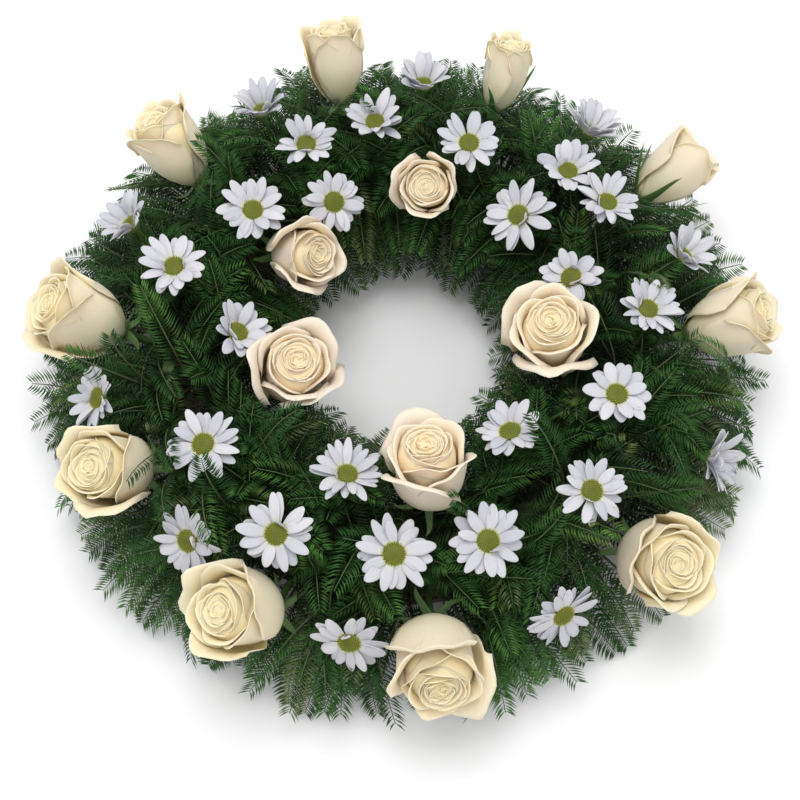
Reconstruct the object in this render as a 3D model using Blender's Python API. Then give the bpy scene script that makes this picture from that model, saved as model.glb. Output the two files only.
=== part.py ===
"""A round funeral wreath: a straw ring dressed with bunches of fir sprays, cream roses and white daisy
chrysanthemums. It lies on its flat underside. Metres, +Z up, origin at the centre of the footprint."""

import math
import random

import bmesh
import bpy
import numpy as np
from mathutils import Matrix, Vector
from mathutils.bvhtree import BVHTree

# Straw ring, an oval tube with a flat underside
RING_RADIUS = 0.165
TUBE_HALF_WIDTH = 0.036
TUBE_HALF_HEIGHT = 0.030
RING_STEPS = 28
TUBE_SIDES = 10
TUBE_CENTRE_Z = TUBE_HALF_HEIGHT * math.sin(math.radians(72))

# The viewpoint that the flower seats were read from, and the size of its picture in pixels
EYE = Vector((0.0, -0.460, 0.994))
AIM = Vector((0.0, -0.045, 0.050))
FOCAL_PX = 1325.0
PICTURE_CENTRE_PX = 400.0

# Clearance between a stem and its hole, and how far from the tube's centre line the stems end
HOLE_SIDES = 5
HOLE_CLEARANCE = 0.0004
HOLE_END_ROOM = 0.001
STEM_END = 0.017

# Roses: picture position of the head's middle, its height above the tube's centre line, its length,
# its widest half width and how far the outer petals have opened, from 0 to 1
ROSE_STEM_RADIUS = 0.0028
ROSE_STEM_SIDES = 4
ROSE_RIM_POINTS = 12
ROSES = [
    (335, 63, 0.113, 0.066, 0.027, 0.2),
    (504, 74, 0.113, 0.062, 0.022, 0.1),
    (174, 148, 0.107, 0.068, 0.032, 0.4),
    (672, 172, 0.108, 0.068, 0.029, 0.3),
    (428, 186, 0.098, 0.056, 0.027, 0.6),
    (300, 254, 0.097, 0.060, 0.030, 0.8),
    (83, 316, 0.105, 0.070, 0.037, 0.6),
    (293, 371, 0.100, 0.062, 0.035, 0.9),
    (552, 336, 0.100, 0.062, 0.036, 1.0),
    (728, 322, 0.105, 0.068, 0.034, 0.7),
    (115, 469, 0.105, 0.070, 0.034, 0.6),
    (428, 470, 0.102, 0.062, 0.034, 0.9),
    (658, 558, 0.105, 0.070, 0.038, 0.7),
    (244, 611, 0.105, 0.068, 0.036, 0.6),
    (437, 658, 0.103, 0.066, 0.038, 0.9),
]
# Roses by number whose heads lean away from the ring's own outward direction: the picture position of
# the middle of the head's top
LEANING_ROSES = {8: (298, 358), 9: (551, 319), 11: (84, 467), 13: (683, 566), 14: (213, 611)}

# Daisies: picture position of the disc, its height above the tube's centre line, the half width
# across the petals and how far the petals rise into a cup, in radians
DAISY_STEM_RADIUS = 0.0018
DAISY_STEM_SIDES = 5
DAISY_DISC_RADIUS = 0.0068
DAISY_DISC_RISE = 0.0034
DAISY_RIM_HEIGHT = 0.0014
DAISY_CUP_HEIGHT = 0.006
PETAL_HALF_WIDTH = 0.0044
PETAL_HALF_THICKNESS = 0.0004
DAISIES = [
    (262, 110, 0.104, 0.027, 0.95),
    (423, 84, 0.104, 0.026, 0.95),
    (306, 144, 0.100, 0.026, 0.55),
    (375, 122, 0.098, 0.027, 0.85),
    (469, 143, 0.098, 0.027, 0.45),
    (590, 131, 0.104, 0.027, 0.95),
    (568, 171, 0.097, 0.027, 0.70),
    (607, 202, 0.104, 0.027, 0.50),
    (130, 224, 0.104, 0.027, 0.85),
    (253, 210, 0.098, 0.028, 0.40),
    (334, 202, 0.100, 0.025, 0.20),
    (174, 266, 0.100, 0.029, 0.35),
    (518, 215, 0.102, 0.030, 0.30),
    (571, 277, 0.098, 0.025, 0.35),
    (684, 256, 0.103, 0.027, 0.90),
    (648, 309, 0.100, 0.026, 0.60),
    (238, 332, 0.099, 0.025, 0.60),
    (97, 398, 0.100, 0.026, 0.50),
    (203, 444, 0.100, 0.028, 0.35),
    (617, 394, 0.100, 0.026, 0.25),
    (510, 431, 0.100, 0.026, 0.35),
    (712, 459, 0.102, 0.028, 0.90),
    (592, 491, 0.100, 0.027, 0.15),
    (347, 474, 0.100, 0.027, 0.45),
    (187, 541, 0.100, 0.027, 0.25),
    (276, 534, 0.100, 0.028, 0.20),
    (394, 554, 0.100, 0.029, 0.10),
    (488, 541, 0.104, 0.028, 0.25),
    (349, 643, 0.099, 0.027, 0.10),
    (564, 616, 0.100, 0.028, 0.10),
]

# Fir bunches, one to each sector of the ring
BUNCHES = 12
KNOT_RADIUS = 0.007
KNOT_HEIGHT = 2 * TUBE_CENTRE_Z + KNOT_RADIUS + 0.0015
LEG_RADIUS = 0.003
LEG_END = 0.011
TWIG_RADIUS = 0.0017
TWIG_TIP_RADIUS = 0.0010
TWIG_CLEARANCE = 0.0032
TWIG_SPACING = 0.0095
BARE_SHARE = 0.30
NEEDLE_ANGLE = math.radians(58)
NEEDLE_WIDTH = 0.0024
# Sprays of a bunch: turn from the bunch's own angle in degrees, radius and height of the tip, radius
# and height of the arch's control point, needle length and number of needle pairs
SPRAYS = [
    (-10.5, 0.287, 0.016, 0.222, 0.070, 0.019, 5),
    (-3.5, 0.295, 0.030, 0.232, 0.088, 0.020, 5),
    (4.0, 0.286, 0.014, 0.218, 0.068, 0.019, 5),
    (11.0, 0.292, 0.032, 0.230, 0.088, 0.019, 5),
    (-13.0, 0.226, 0.082, 0.190, 0.104, 0.018, 4),
    (16.0, 0.196, 0.094, 0.182, 0.104, 0.018, 4),
    (-9.0, 0.078, 0.040, 0.120, 0.078, 0.016, 4),
    (7.0, 0.076, 0.064, 0.112, 0.096, 0.017, 4),
]
TRIES = 60
SEED = 7

# How a needle or a petal gives way where something stands in its path: the rise of its tip for its
# length, or of the petal in radians, and the share of its length that is left
NEEDLE_BENDS = [(0.1, 1.0), (0.4, 0.95), (-0.3, 0.95), (0.8, 0.85), (0.1, 0.7), (-0.2, 0.55), (0.3, 0.4)]
PETAL_BENDS = [(0.0, 1.0), (0.2, 0.98), (-0.2, 0.97), (0.5, 0.9), (0.9, 0.8), (0.2, 0.7), (0.3, 0.5)]
BEND_CLEARANCE = 0.0005


def around(angle):
    """The unit vector that points away from the wreath's axis at an angle in radians."""
    return Vector((math.cos(angle), math.sin(angle), 0.0))


def tube_centre(point):
    """The nearest point of the straw tube's centre line."""
    out = Vector((point.x, point.y, 0.0)).normalized()
    return out * RING_RADIUS + Vector((0.0, 0.0, TUBE_CENTRE_Z))


def outward(point):
    """The direction away from the tube's centre line."""
    return (point - tube_centre(point)).normalized()


def picture_ray(x_px, y_px):
    """The direction from the eye through a point of the picture."""
    ahead = (AIM - EYE).normalized()
    right = ahead.cross(Vector((0.0, 0.0, 1.0))).normalized()
    up = right.cross(ahead)
    across = (x_px - PICTURE_CENTRE_PX) / FOCAL_PX
    above = (PICTURE_CENTRE_PX - y_px) / FOCAL_PX
    return (ahead + right * across + up * above).normalized()


def seat(x_px, y_px, height):
    """Where the ray through a picture point first comes within a height of the tube's centre line, or
    its nearest pass where it stays further away."""
    ray = picture_ray(x_px, y_px)
    best, best_gap = None, math.inf
    for distance in np.arange(0.75, 1.35, 0.001):
        point = EYE + ray * distance
        gap = (point - tube_centre(point)).length - height
        if gap < best_gap:
            best, best_gap = point, gap
        if gap <= 0:
            break
    return best


def stem_line(point):
    """A stem that ends at a point: its foot on the tube's centre line, its direction and its length
    from that foot."""
    centre = tube_centre(point)
    return centre, (point - centre).normalized(), (point - centre).length


def rose_head(number):
    """A rose head's base and direction, by the rose's number. A leaning head's top lies on the ray
    through its picture position, half a head's length from the head's middle and on the viewer's side."""
    x_px, y_px, height, length, _, _ = ROSES[number - 1]
    middle = seat(x_px, y_px, height)
    head = outward(middle)
    if number in LEANING_ROSES:
        ray = picture_ray(*LEANING_ROSES[number])
        closest = EYE + ray * (middle - EYE).dot(ray)
        nearer = math.sqrt(max(0.0, (length / 2) ** 2 - (closest - middle).length_squared))
        head = (closest - ray * nearer - middle).normalized()
    return middle - head * (length / 2), head


def rose_line(number):
    """A rose's stem, as stem_line gives it."""
    return stem_line(rose_head(number)[0])


def daisy_line(spec):
    """A daisy's stem, as stem_line gives it."""
    return stem_line(seat(spec[0], spec[1], spec[2]))


def material(name, colour, roughness):
    made = bpy.data.materials.new(name)
    made.use_nodes = True
    shader = made.node_tree.nodes["Principled BSDF"]
    shader.inputs["Base Color"].default_value = (*colour, 1.0)
    shader.inputs["Roughness"].default_value = roughness
    shader.inputs["Metallic"].default_value = 0.0
    return made


def collection(name):
    made = bpy.data.collections.new(name)
    bpy.context.scene.collection.children.link(made)
    return made


def add_object(name, bm, group, finish):
    mesh = bpy.data.meshes.new(name)
    bm.to_mesh(mesh)
    bm.free()
    made = bpy.data.objects.new(name, mesh)
    group.objects.link(made)
    mesh.materials.append(finish)
    return made


def solid_tree(objects):
    """A search tree of the faces of all the objects."""
    points, faces = [], []
    for item in objects:
        start = len(points)
        points += [vert.co.copy() for vert in item.data.vertices]
        faces += [[start + index for index in face.vertices] for face in item.data.polygons]
    return BVHTree.FromPolygons(points, faces)


def spike_tree(corners, tip):
    """A search tree of a needle's or petal's faces, from its root corners to its tip points."""
    count = len(corners)
    faces = [(index, (index + 1) % count, count) for index in range(count)]
    if len(tip) == count:
        faces = [(i, (i + 1) % count, count + (i + 1) % count, count + i) for i in range(count)]
    return BVHTree.FromPolygons(corners + tip, faces)


def stand_on(axis, spin):
    """A rotation that carries +Z to the axis, after a turn about it."""
    turn = axis.to_track_quat("Z", "Y").to_matrix()
    return turn.to_4x4() @ Matrix.Rotation(spin, 4, "Z")


def set_ring(verts, radius, height):
    """Moves points to a circle about the Z axis, each at the direction that it has."""
    for vert in verts:
        flat = Vector((vert.co.x, vert.co.y, 0.0)).normalized() * radius
        vert.co = Vector((flat.x, flat.y, height))


def grow(bm, face, height, radius):
    """Extrudes an upward face to a height and a half width, and returns the new upward face."""
    made = bmesh.ops.extrude_face_region(bm, geom=[face])["geom"]
    bmesh.ops.delete(bm, geom=[face], context="FACES_ONLY")
    top = next(part for part in made if isinstance(part, bmesh.types.BMFace))
    set_ring(top.verts, radius, height)
    return top


def bend_neck(bm, height, way, head):
    """Turns everything above a height of a flower made along +Z, so that its head points another way
    than its stem. The directions are the stem's and the head's."""
    up = Vector((0.0, 0.0, 1.0))
    lean = stand_on(way, 0.0).inverted() @ head.to_4d()
    turn = up.rotation_difference(lean.to_3d()).to_matrix()
    for vert in bm.verts:
        if vert.co.z > height:
            vert.co = turn @ (vert.co - up * height) + up * height


def poked_up(bm, face, height):
    """Raises the middle of an upward face to a height."""
    middle = bmesh.ops.poke(bm, faces=[face])["verts"][0]
    middle.co = Vector((0.0, 0.0, height))


def stem(sides, radius, top):
    """Starts a flower's solid with its stem, and returns it with the stem's upper end face."""
    bm = bmesh.new()
    depth = top - STEM_END
    bmesh.ops.create_cone(bm, cap_ends=True, segments=sides, radius1=radius, radius2=radius, depth=depth)
    bmesh.ops.translate(bm, verts=bm.verts, vec=(0.0, 0.0, STEM_END + depth / 2))
    return bm, max(bm.faces, key=lambda face: face.calc_center_median().z)


def petal_rim(face, radius, height, spread, lift, phase, growth):
    """Gives a ring of a rose's head four petals, with three points of the rim to each, the first of
    them in the notch. The rim widens from petal to petal round the head."""
    step = math.tau / ROSE_RIM_POINTS
    for vert in face.verts:
        index = round(math.atan2(vert.co.y, vert.co.x) / step) % ROSE_RIM_POINTS
        notch = (index + phase) % 3 == 0
        out = radius * (1.0 + growth * (index / ROSE_RIM_POINTS - 0.5)) + (0.0 if notch else spread)
        rise = height - (lift if notch else 0.0)
        vert.co = Vector((out * math.cos(index * step), out * math.sin(index * step), rise))


def rose(number, group, finish, spin):
    """One rose: a stem, the green hip and a head of three rings of petals round a bud. It is made along
    +Z from the tube's centre line, then bent at the neck."""
    centre, way, base = rose_line(number)
    _, _, _, length, half, opened = ROSES[number - 1]
    top = base + length
    bm, face = stem(ROSE_STEM_SIDES, ROSE_STEM_RADIUS, base - 0.004)
    face = grow(bm, face, base + 0.006, 0.009)
    bmesh.ops.subdivide_edges(bm, edges=list(face.edges), cuts=2)
    petal_rim(face, 0.010, base + 0.006, 0.0, 0.0, 0, 0.0)
    face = grow(bm, face, base + 0.38 * length, half * 0.92)
    lip = half * (0.80 + 0.12 * opened)
    outer_top = top - 0.22 * length * opened
    rings = (
        (lip, outer_top, 0.10 * lip, 0.016, 0, 0.10),
        (0.66 * half, top - 0.42 * length, 0.0, 0.0, 1, 0.10),
        (0.62 * half, top - 0.04 * length * opened, 0.003, 0.011, 1, 0.16),
        (0.40 * half, top - 0.28 * length, 0.0, 0.0, 2, 0.16),
        (0.36 * half, top, 0.002, 0.006, 2, 0.20),
        (0.19 * half, top - 0.14 * length, 0.0, 0.0, 2, 0.0),
    )
    for radius, rise, spread, lift, phase, growth in rings:
        face = grow(bm, face, rise, radius)
        petal_rim(face, radius, rise, spread, lift, phase, growth)
    poked_up(bm, face, top - 0.01 * length)
    bmesh.ops.triangulate(bm, faces=bm.faces)
    bm.transform(Matrix.Rotation(spin, 4, "Z"))
    bend_neck(bm, base, way, rose_head(number)[1])
    bm.transform(Matrix.Translation(centre) @ stand_on(way, 0.0))
    return add_object(f"rose_{number:02d}", bm, group, finish)


def daisy(name, group, finish, spec, spin, draw, blocked):
    """One daisy: a stem that flares into the green cup, a domed disc and a wheel of petals, each drawn
    out of one side of the disc and bent clear of what stands in its path."""
    centre, way, away = daisy_line(spec)
    place = Matrix.Translation(centre) @ stand_on(way, spin)
    rim = away - DAISY_RIM_HEIGHT
    bm, face = stem(DAISY_STEM_SIDES, DAISY_STEM_RADIUS, away - DAISY_CUP_HEIGHT)
    face = grow(bm, face, rim, DAISY_DISC_RADIUS)
    bmesh.ops.subdivide_edges(bm, edges=list(face.edges), cuts=1)
    set_ring(face.verts, DAISY_DISC_RADIUS, rim)
    face = grow(bm, face, away, DAISY_DISC_RADIUS)
    sides = [side for edge in face.edges for side in edge.link_faces if side != face]
    poked_up(bm, face, away + DAISY_DISC_RISE)
    for end in bmesh.ops.extrude_discrete_faces(bm, faces=sides)["faces"]:
        root = [vert.co.copy() for vert in end.verts]
        middle = end.calc_center_median()
        out = Vector((middle.x, middle.y, 0.0)).normalized()
        across = Vector((-out.y, out.x, 0.0))
        long = spec[3] * draw.uniform(0.93, 1.0) - DAISY_DISC_RADIUS
        lean = spec[4] + draw.uniform(-0.10, 0.10)
        for bend, share in PETAL_BENDS:
            rise = long * share * math.sin(lean + bend)
            reach = DAISY_DISC_RADIUS + long * share * math.cos(lean + bend)
            tips = []
            for corner in root:
                side = math.copysign(PETAL_HALF_WIDTH, (corner - middle).dot(across))
                upper = math.copysign(PETAL_HALF_THICKNESS, corner.z - middle.z)
                flat = out * reach + across * side
                tips.append(Vector((flat.x, flat.y, away + rise + upper)))
            grown = [tip + out * BEND_CLEARANCE for tip in tips]
            tree = spike_tree([place @ corner for corner in root], [place @ tip for tip in grown])
            if not tree.overlap(blocked):
                break
        for vert, tip in zip(end.verts, tips):
            vert.co = tip
    bmesh.ops.triangulate(bm, faces=bm.faces)
    bm.transform(place)
    return add_object(name, bm, group, finish)


def flower_room():
    """Balls that fill every stem and head, as rows of a point and its radius."""
    rows = []
    for number, spec in enumerate(ROSES, 1):
        centre, way, away = rose_line(number)
        base, head = rose_head(number)
        length, half = spec[3], spec[4]
        for along in np.arange(STEM_END, away, 0.003):
            rows.append((*(centre + way * along), ROSE_STEM_RADIUS))
        for share in np.linspace(0.1, 1.0, 10):
            rows.append((*(base + head * (length * share)), half * min(1.0, 0.35 + 1.5 * share)))
    for spec in DAISIES:
        centre, way, away = daisy_line(spec)
        half, cup = spec[3], spec[4]
        side = way.orthogonal().normalized()
        for along in np.arange(STEM_END, away, 0.003):
            rows.append((*(centre + way * along), DAISY_STEM_RADIUS))
        for share in (0.25, 0.5, 0.75, 1.0):
            rise = way * (away + half * share * math.sin(cup))
            for spoke in range(16):
                rim = Matrix.Rotation(math.tau * spoke / 16, 3, way) @ side
                rows.append((*(centre + rise + rim * half * share * math.cos(cup)), 0.003))
    return np.array(rows)


class Spray:
    """A fir spray's line from its knot to its tip: an arch with a flat comb of needles."""

    def __init__(self, start, control, tip, needle, pairs):
        self.start, self.control, self.tip = start, control, tip
        self.needle, self.pairs = needle, pairs

    def at(self, share):
        """The point, the way ahead, the side and the upward direction at a share of the length."""
        back = 1.0 - share
        point = self.start * back * back + self.control * 2 * back * share + self.tip * share * share
        ahead = ((self.control - self.start) * back + (self.tip - self.control) * share).normalized()
        side = outward(point).cross(ahead).normalized()
        return point, ahead, side, ahead.cross(side)

    def reach(self, share):
        """The needle length at a share of the spray: longest just past its middle."""
        part = (share - BARE_SHARE) / (1.0 - BARE_SHARE)
        return self.needle * (0.62 + 0.38 * math.sin(math.pi * min(1.0, part * 0.9 + 0.15)))

    def rows(self):
        """Points along the twig, each with its share of the length."""
        return np.array([(*self.at(share)[0], share) for share in np.linspace(0.0, 1.0, 25)])

    def levels(self):
        """The shares of the length where the twig's cross-sections lie: two for the bare foot, then two
        for each pair of needles, as far apart as a needle is wide, the last of them at the tip."""
        length = (self.control - self.start).length + (self.tip - self.control).length
        width = NEEDLE_WIDTH / length
        shares = [0.0, BARE_SHARE * 0.5]
        for pair in range(self.pairs):
            end = BARE_SHARE + (1.0 - BARE_SHARE) * (pair + 1) / self.pairs
            shares += [end - width, end]
        return shares


def nearest(rows, others):
    """The least distance between two sets of points."""
    return np.linalg.norm(rows[:, None, :3] - others[None, :, :3], axis=2).min()


def knot_angles(room):
    """An angle for each bunch, as near its sector's middle as the flower stems allow."""
    angles = []
    for index in range(BUNCHES):
        middle = math.tau * (index + 0.5) / BUNCHES
        best, best_gap = middle, -math.inf
        for degrees in sorted(range(-11, 12), key=abs):
            angle = middle + math.radians(degrees)
            knot = np.array(around(angle) * RING_RADIUS + Vector((0.0, 0.0, KNOT_HEIGHT)))
            gap = (np.linalg.norm(room[:, :3] - knot, axis=1) - room[:, 3]).min() - KNOT_RADIUS
            if gap > best_gap + 0.0005:
                best, best_gap = angle, gap
            if gap > TWIG_CLEARANCE:
                break
        angles.append(best)
    return angles


def spray_fits(spray, room, others, own):
    """Whether a spray's twig stays clear of the flowers and far enough from the other twigs."""
    rows = spray.rows()
    gaps = np.linalg.norm(rows[:, None, :3] - room[None, :, :3], axis=2) - room[None, :, 3]
    if gaps.min() < TWIG_CLEARANCE:
        return False
    needled = rows[rows[:, 3] > BARE_SHARE]
    if any(nearest(rows, other) < TWIG_SPACING for other in others):
        return False
    return not any(nearest(needled, other[other[:, 3] > BARE_SHARE]) < TWIG_SPACING for other in own)


def bunch_sprays():
    """Each bunch's knot and sprays. A spray that would meet a flower or another spray is bent aside,
    and left out where no bend clears it."""
    room = flower_room()
    angles = knot_angles(room)
    knots = [around(angle) * RING_RADIUS + Vector((0.0, 0.0, KNOT_HEIGHT)) for angle in angles]
    bunches, others = [], []
    for number, (angle, knot) in enumerate(zip(angles, knots)):
        far_knots = [np.array([(*place, 0.0)]) for place in knots if place is not knot]
        kept, own = [], []
        for row, (turn, tip_radius, tip_z, bend_radius, bend_z, needle, pairs) in enumerate(SPRAYS):
            draw = random.Random(SEED + 100 * number + row)
            for attempt in range(TRIES):
                loose = min(1.0, 0.1 + attempt / 15)
                tip_angle = angle + math.radians(turn + 8.0 * loose * draw.uniform(-1.0, 1.0))
                bend_angle = angle + (tip_angle - angle) * draw.uniform(0.2, 0.7)
                inward = math.copysign(0.018 * loose * draw.random(), RING_RADIUS - tip_radius)
                rise = tip_z + 0.022 * loose * draw.uniform(-0.5, 1.0)
                bend = bend_z + 0.022 * loose * draw.uniform(-0.6, 1.0)
                control = around(bend_angle) * bend_radius + Vector((0.0, 0.0, bend))
                tip = around(tip_angle) * (tip_radius + inward) + Vector((0.0, 0.0, max(rise, 0.012)))
                spray = Spray(knot, control, tip, needle, pairs)
                if spray_fits(spray, room, others + far_knots, own):
                    kept.append(spray)
                    own.append(spray.rows())
                    break
        others += own
        bunches.append((knot, kept))
    return bunches


def twig(spray):
    """A bare three-sided twig along a spray's line, one ridge up, with its faces by step and side:
    -1 for the left upper face, 1 for the right one and 0 for the underside."""
    bm = bmesh.new()
    bmesh.ops.create_cone(bm, cap_ends=True, segments=3, radius1=1.0, radius2=1.0, depth=1.0)
    levels = spray.levels()
    steps = len(levels) - 1
    long_edges = [edge for edge in bm.edges if abs(edge.verts[0].co.z - edge.verts[1].co.z) > 0.5]
    bmesh.ops.subdivide_edges(bm, edges=long_edges, cuts=steps - 1)
    faces = {}
    for face in bm.faces:
        face.normal_update()
        if abs(face.normal.z) < 0.5:
            step = int((face.calc_center_median().z + 0.5) * steps)
            faces[step, 0 if abs(face.normal.x) < 0.3 else int(math.copysign(1, face.normal.x))] = face
    end = max(bm.faces, key=lambda face: face.calc_center_median().z)
    for vert in bm.verts:
        share = levels[round((vert.co.z + 0.5) * steps)]
        point, _, side, up = spray.at(share)
        thick = TWIG_RADIUS + (TWIG_TIP_RADIUS - TWIG_RADIUS) * share
        vert.co = point + side * vert.co.x * thick + up * vert.co.y * thick
    return bm, faces, end


def needle_tip(spray, share, side_sign, slope, left):
    """Where a needle ends that grows from the twig at a share of its length."""
    point, ahead, side, up = spray.at(share)
    reach = spray.reach(share) * left
    flat = side * side_sign * math.sin(NEEDLE_ANGLE) + ahead * math.cos(NEEDLE_ANGLE)
    return point + (flat + up * slope).normalized() * reach


def spray_mesh(spray, blocked):
    """A twig with a pair of needles on every second step, each drawn out of an upper face and bent
    clear of what stands in its path, or left out where it can't be."""
    bm, faces, end = twig(spray)
    levels = spray.levels()
    for pair in range(spray.pairs):
        step = 2 * pair + 2
        share = (levels[step] + levels[step + 1]) / 2
        for side_sign in (-1, 1):
            face = faces[step, side_sign]
            corners = [vert.co.copy() for vert in face.verts]
            for slope, left in NEEDLE_BENDS:
                tip = needle_tip(spray, share, side_sign, slope, left)
                beyond = tip + (tip - face.calc_center_median()).normalized() * BEND_CLEARANCE
                if not spike_tree(corners, [beyond]).overlap(blocked):
                    bmesh.ops.poke(bm, faces=[face])["verts"][0].co = tip
                    break
    point, ahead, _, _ = spray.at(1.0)
    bmesh.ops.poke(bm, faces=[end])["verts"][0].co = point + ahead * spray.needle * 0.35
    bmesh.ops.triangulate(bm, faces=bm.faces)
    return bm


def fir_bunch(name, group, spare, finish, bunch, blockers):
    """One bunch: its sprays and the leg that pins it in the straw, joined at the knot."""
    knot, sprays = bunch
    bm = bmesh.new()
    bmesh.ops.create_icosphere(bm, subdivisions=1, radius=KNOT_RADIUS)
    bm.transform(Matrix.Translation(knot))
    whole = add_object(name, bm, group, finish)
    leg = bmesh.new()
    foot_z = TUBE_CENTRE_Z + LEG_END
    long = knot.z - foot_z
    bmesh.ops.create_cone(leg, cap_ends=True, segments=5, radius1=LEG_RADIUS, radius2=LEG_RADIUS, depth=long)
    leg.transform(Matrix.Translation((knot.x, knot.y, foot_z + long / 2)))
    add_object(name + "_leg", leg, spare, finish)
    own = []
    for index, spray in enumerate(sprays):
        blocked = solid_tree(blockers + own)
        made = add_object(f"{name}_spray_{index}", spray_mesh(spray, blocked), spare, finish)
        own.append(made)
    join = whole.modifiers.new("join", "BOOLEAN")
    join.operation = "UNION"
    join.operand_type = "COLLECTION"
    join.collection = spare
    join.solver = "MANIFOLD"
    bpy.context.view_layer.update()
    graph = bpy.context.evaluated_depsgraph_get()
    joined = bpy.data.meshes.new_from_object(whole.evaluated_get(graph))
    whole.modifiers.clear()
    whole.data = joined
    for piece in list(spare.objects):
        bpy.data.objects.remove(piece)
    return whole


def stem_hole(name, cutters, finish, centre, way, radius, end):
    """A cutter for a plain hole round a stem or leg, from just past its end to outside the straw."""
    low, high = end - HOLE_END_ROOM, TUBE_HALF_WIDTH * 1.25
    wide = (radius + HOLE_CLEARANCE) / math.cos(math.pi / HOLE_SIDES)
    bm = bmesh.new()
    long = high - low
    bmesh.ops.create_cone(bm, cap_ends=True, segments=HOLE_SIDES, radius1=wide, radius2=wide, depth=long)
    bm.transform(Matrix.Translation(centre + way * (low + high) / 2) @ stand_on(way, 0.0))
    cutter = add_object(name, bm, cutters, finish)
    cutter.hide_render = True
    cutter.display_type = "WIRE"


def straw_ring(group, finish):
    """The ring, not yet pierced."""
    bpy.ops.mesh.primitive_torus_add(
        major_segments=RING_STEPS,
        minor_segments=TUBE_SIDES,
        major_radius=RING_RADIUS,
        minor_radius=TUBE_HALF_WIDTH,
    )
    ring = bpy.context.object
    ring.name = "straw_ring"
    for owner in list(ring.users_collection):
        owner.objects.unlink(ring)
    group.objects.link(ring)
    flatten = Matrix.Diagonal((1.0, 1.0, TUBE_HALF_HEIGHT / TUBE_HALF_WIDTH, 1.0))
    ring.data.transform(Matrix.Translation((0.0, 0.0, TUBE_CENTRE_Z)) @ flatten)
    ring.data.materials.append(finish)
    return ring


def recentre(objects, cutters):
    """Shifts everything level so that the origin lies under the middle of the whole wreath."""
    spots = np.array([vert.co for item in objects for vert in item.data.vertices])
    middle = (spots.min(axis=0) + spots.max(axis=0)) / 2
    for item in [*objects, *cutters.objects]:
        item.data.transform(Matrix.Translation((-middle[0], -middle[1], 0.0)))


def pierce(ring, cutters):
    """Cuts the stem and leg holes."""
    drill = ring.modifiers.new("stem holes", "BOOLEAN")
    drill.operation = "DIFFERENCE"
    drill.operand_type = "COLLECTION"
    drill.collection = cutters
    drill.solver = "EXACT"


def main():
    for old in list(bpy.data.objects):
        bpy.data.objects.remove(old)
    wreath = collection("funeral_wreath")
    cutters = collection("stem_holes")
    spare = collection("bunch_pieces")
    straw = material("straw", (0.42, 0.31, 0.16), 0.9)
    fir = material("fir", (0.05, 0.14, 0.05), 0.6)
    cream = material("rose_cream", (0.86, 0.77, 0.58), 0.55)
    white = material("daisy_white", (0.88, 0.88, 0.92), 0.5)
    draw = random.Random(SEED)
    ring = straw_ring(wreath, straw)
    solids = [ring]
    for number in range(1, len(ROSES) + 1):
        solids.append(rose(number, wreath, cream, draw.uniform(0, math.tau)))
        foot, way, _ = rose_line(number)
        stem_hole(f"rose_hole_{number:02d}", cutters, straw, foot, way, ROSE_STEM_RADIUS, STEM_END)
    for index, spec in enumerate(DAISIES):
        spin = draw.uniform(0, math.tau)
        name = f"daisy_{index + 1:02d}"
        solids.append(daisy(name, wreath, white, spec, spin, draw, solid_tree(solids)))
        foot, way, _ = daisy_line(spec)
        stem_hole(f"daisy_hole_{index + 1:02d}", cutters, straw, foot, way, DAISY_STEM_RADIUS, STEM_END)
    up = Vector((0.0, 0.0, 1.0))
    for index, bunch in enumerate(bunch_sprays()):
        solids.append(fir_bunch(f"fir_bunch_{index + 1:02d}", wreath, spare, fir, bunch, solids))
        stem_hole(f"leg_hole_{index + 1:02d}", cutters, straw, tube_centre(bunch[0]), up, LEG_RADIUS, LEG_END)
    bpy.data.collections.remove(spare)
    recentre(solids, cutters)
    pierce(ring, cutters)


main()
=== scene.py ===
"""Looks of a funeral wreath: fir sprays, cream roses and white daisy chrysanthemums on a straw ring."""

import math
import random

import bpy
import numpy as np
from mathutils import Matrix, Vector


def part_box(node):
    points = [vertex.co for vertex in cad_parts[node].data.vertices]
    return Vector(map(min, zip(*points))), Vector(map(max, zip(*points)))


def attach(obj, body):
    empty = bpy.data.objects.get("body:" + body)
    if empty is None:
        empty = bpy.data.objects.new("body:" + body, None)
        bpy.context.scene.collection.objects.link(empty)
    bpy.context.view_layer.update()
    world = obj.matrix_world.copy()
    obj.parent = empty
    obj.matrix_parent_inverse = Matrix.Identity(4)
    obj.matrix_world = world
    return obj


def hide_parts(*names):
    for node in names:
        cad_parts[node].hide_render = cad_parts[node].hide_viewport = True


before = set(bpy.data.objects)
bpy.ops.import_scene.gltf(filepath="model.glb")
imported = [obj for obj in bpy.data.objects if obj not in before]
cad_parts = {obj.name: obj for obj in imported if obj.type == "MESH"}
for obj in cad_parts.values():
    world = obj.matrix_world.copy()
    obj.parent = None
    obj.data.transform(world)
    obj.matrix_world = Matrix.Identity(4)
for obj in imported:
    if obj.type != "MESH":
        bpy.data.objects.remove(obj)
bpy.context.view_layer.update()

RING_LOW, RING_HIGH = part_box("straw_ring")
OFFSET = np.array([(RING_LOW[0] + RING_HIGH[0]) / 2, (RING_LOW[1] + RING_HIGH[1]) / 2, 0.0])

# Straw ring
RING_RADIUS = 0.165
TUBE_HALF_WIDTH = 0.036
TUBE_HALF_HEIGHT = 0.030
TUBE_CENTRE_Z = TUBE_HALF_HEIGHT * math.sin(math.radians(72))
STRAW_SLICES, STRAW_SIDES = 180, 44
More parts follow.
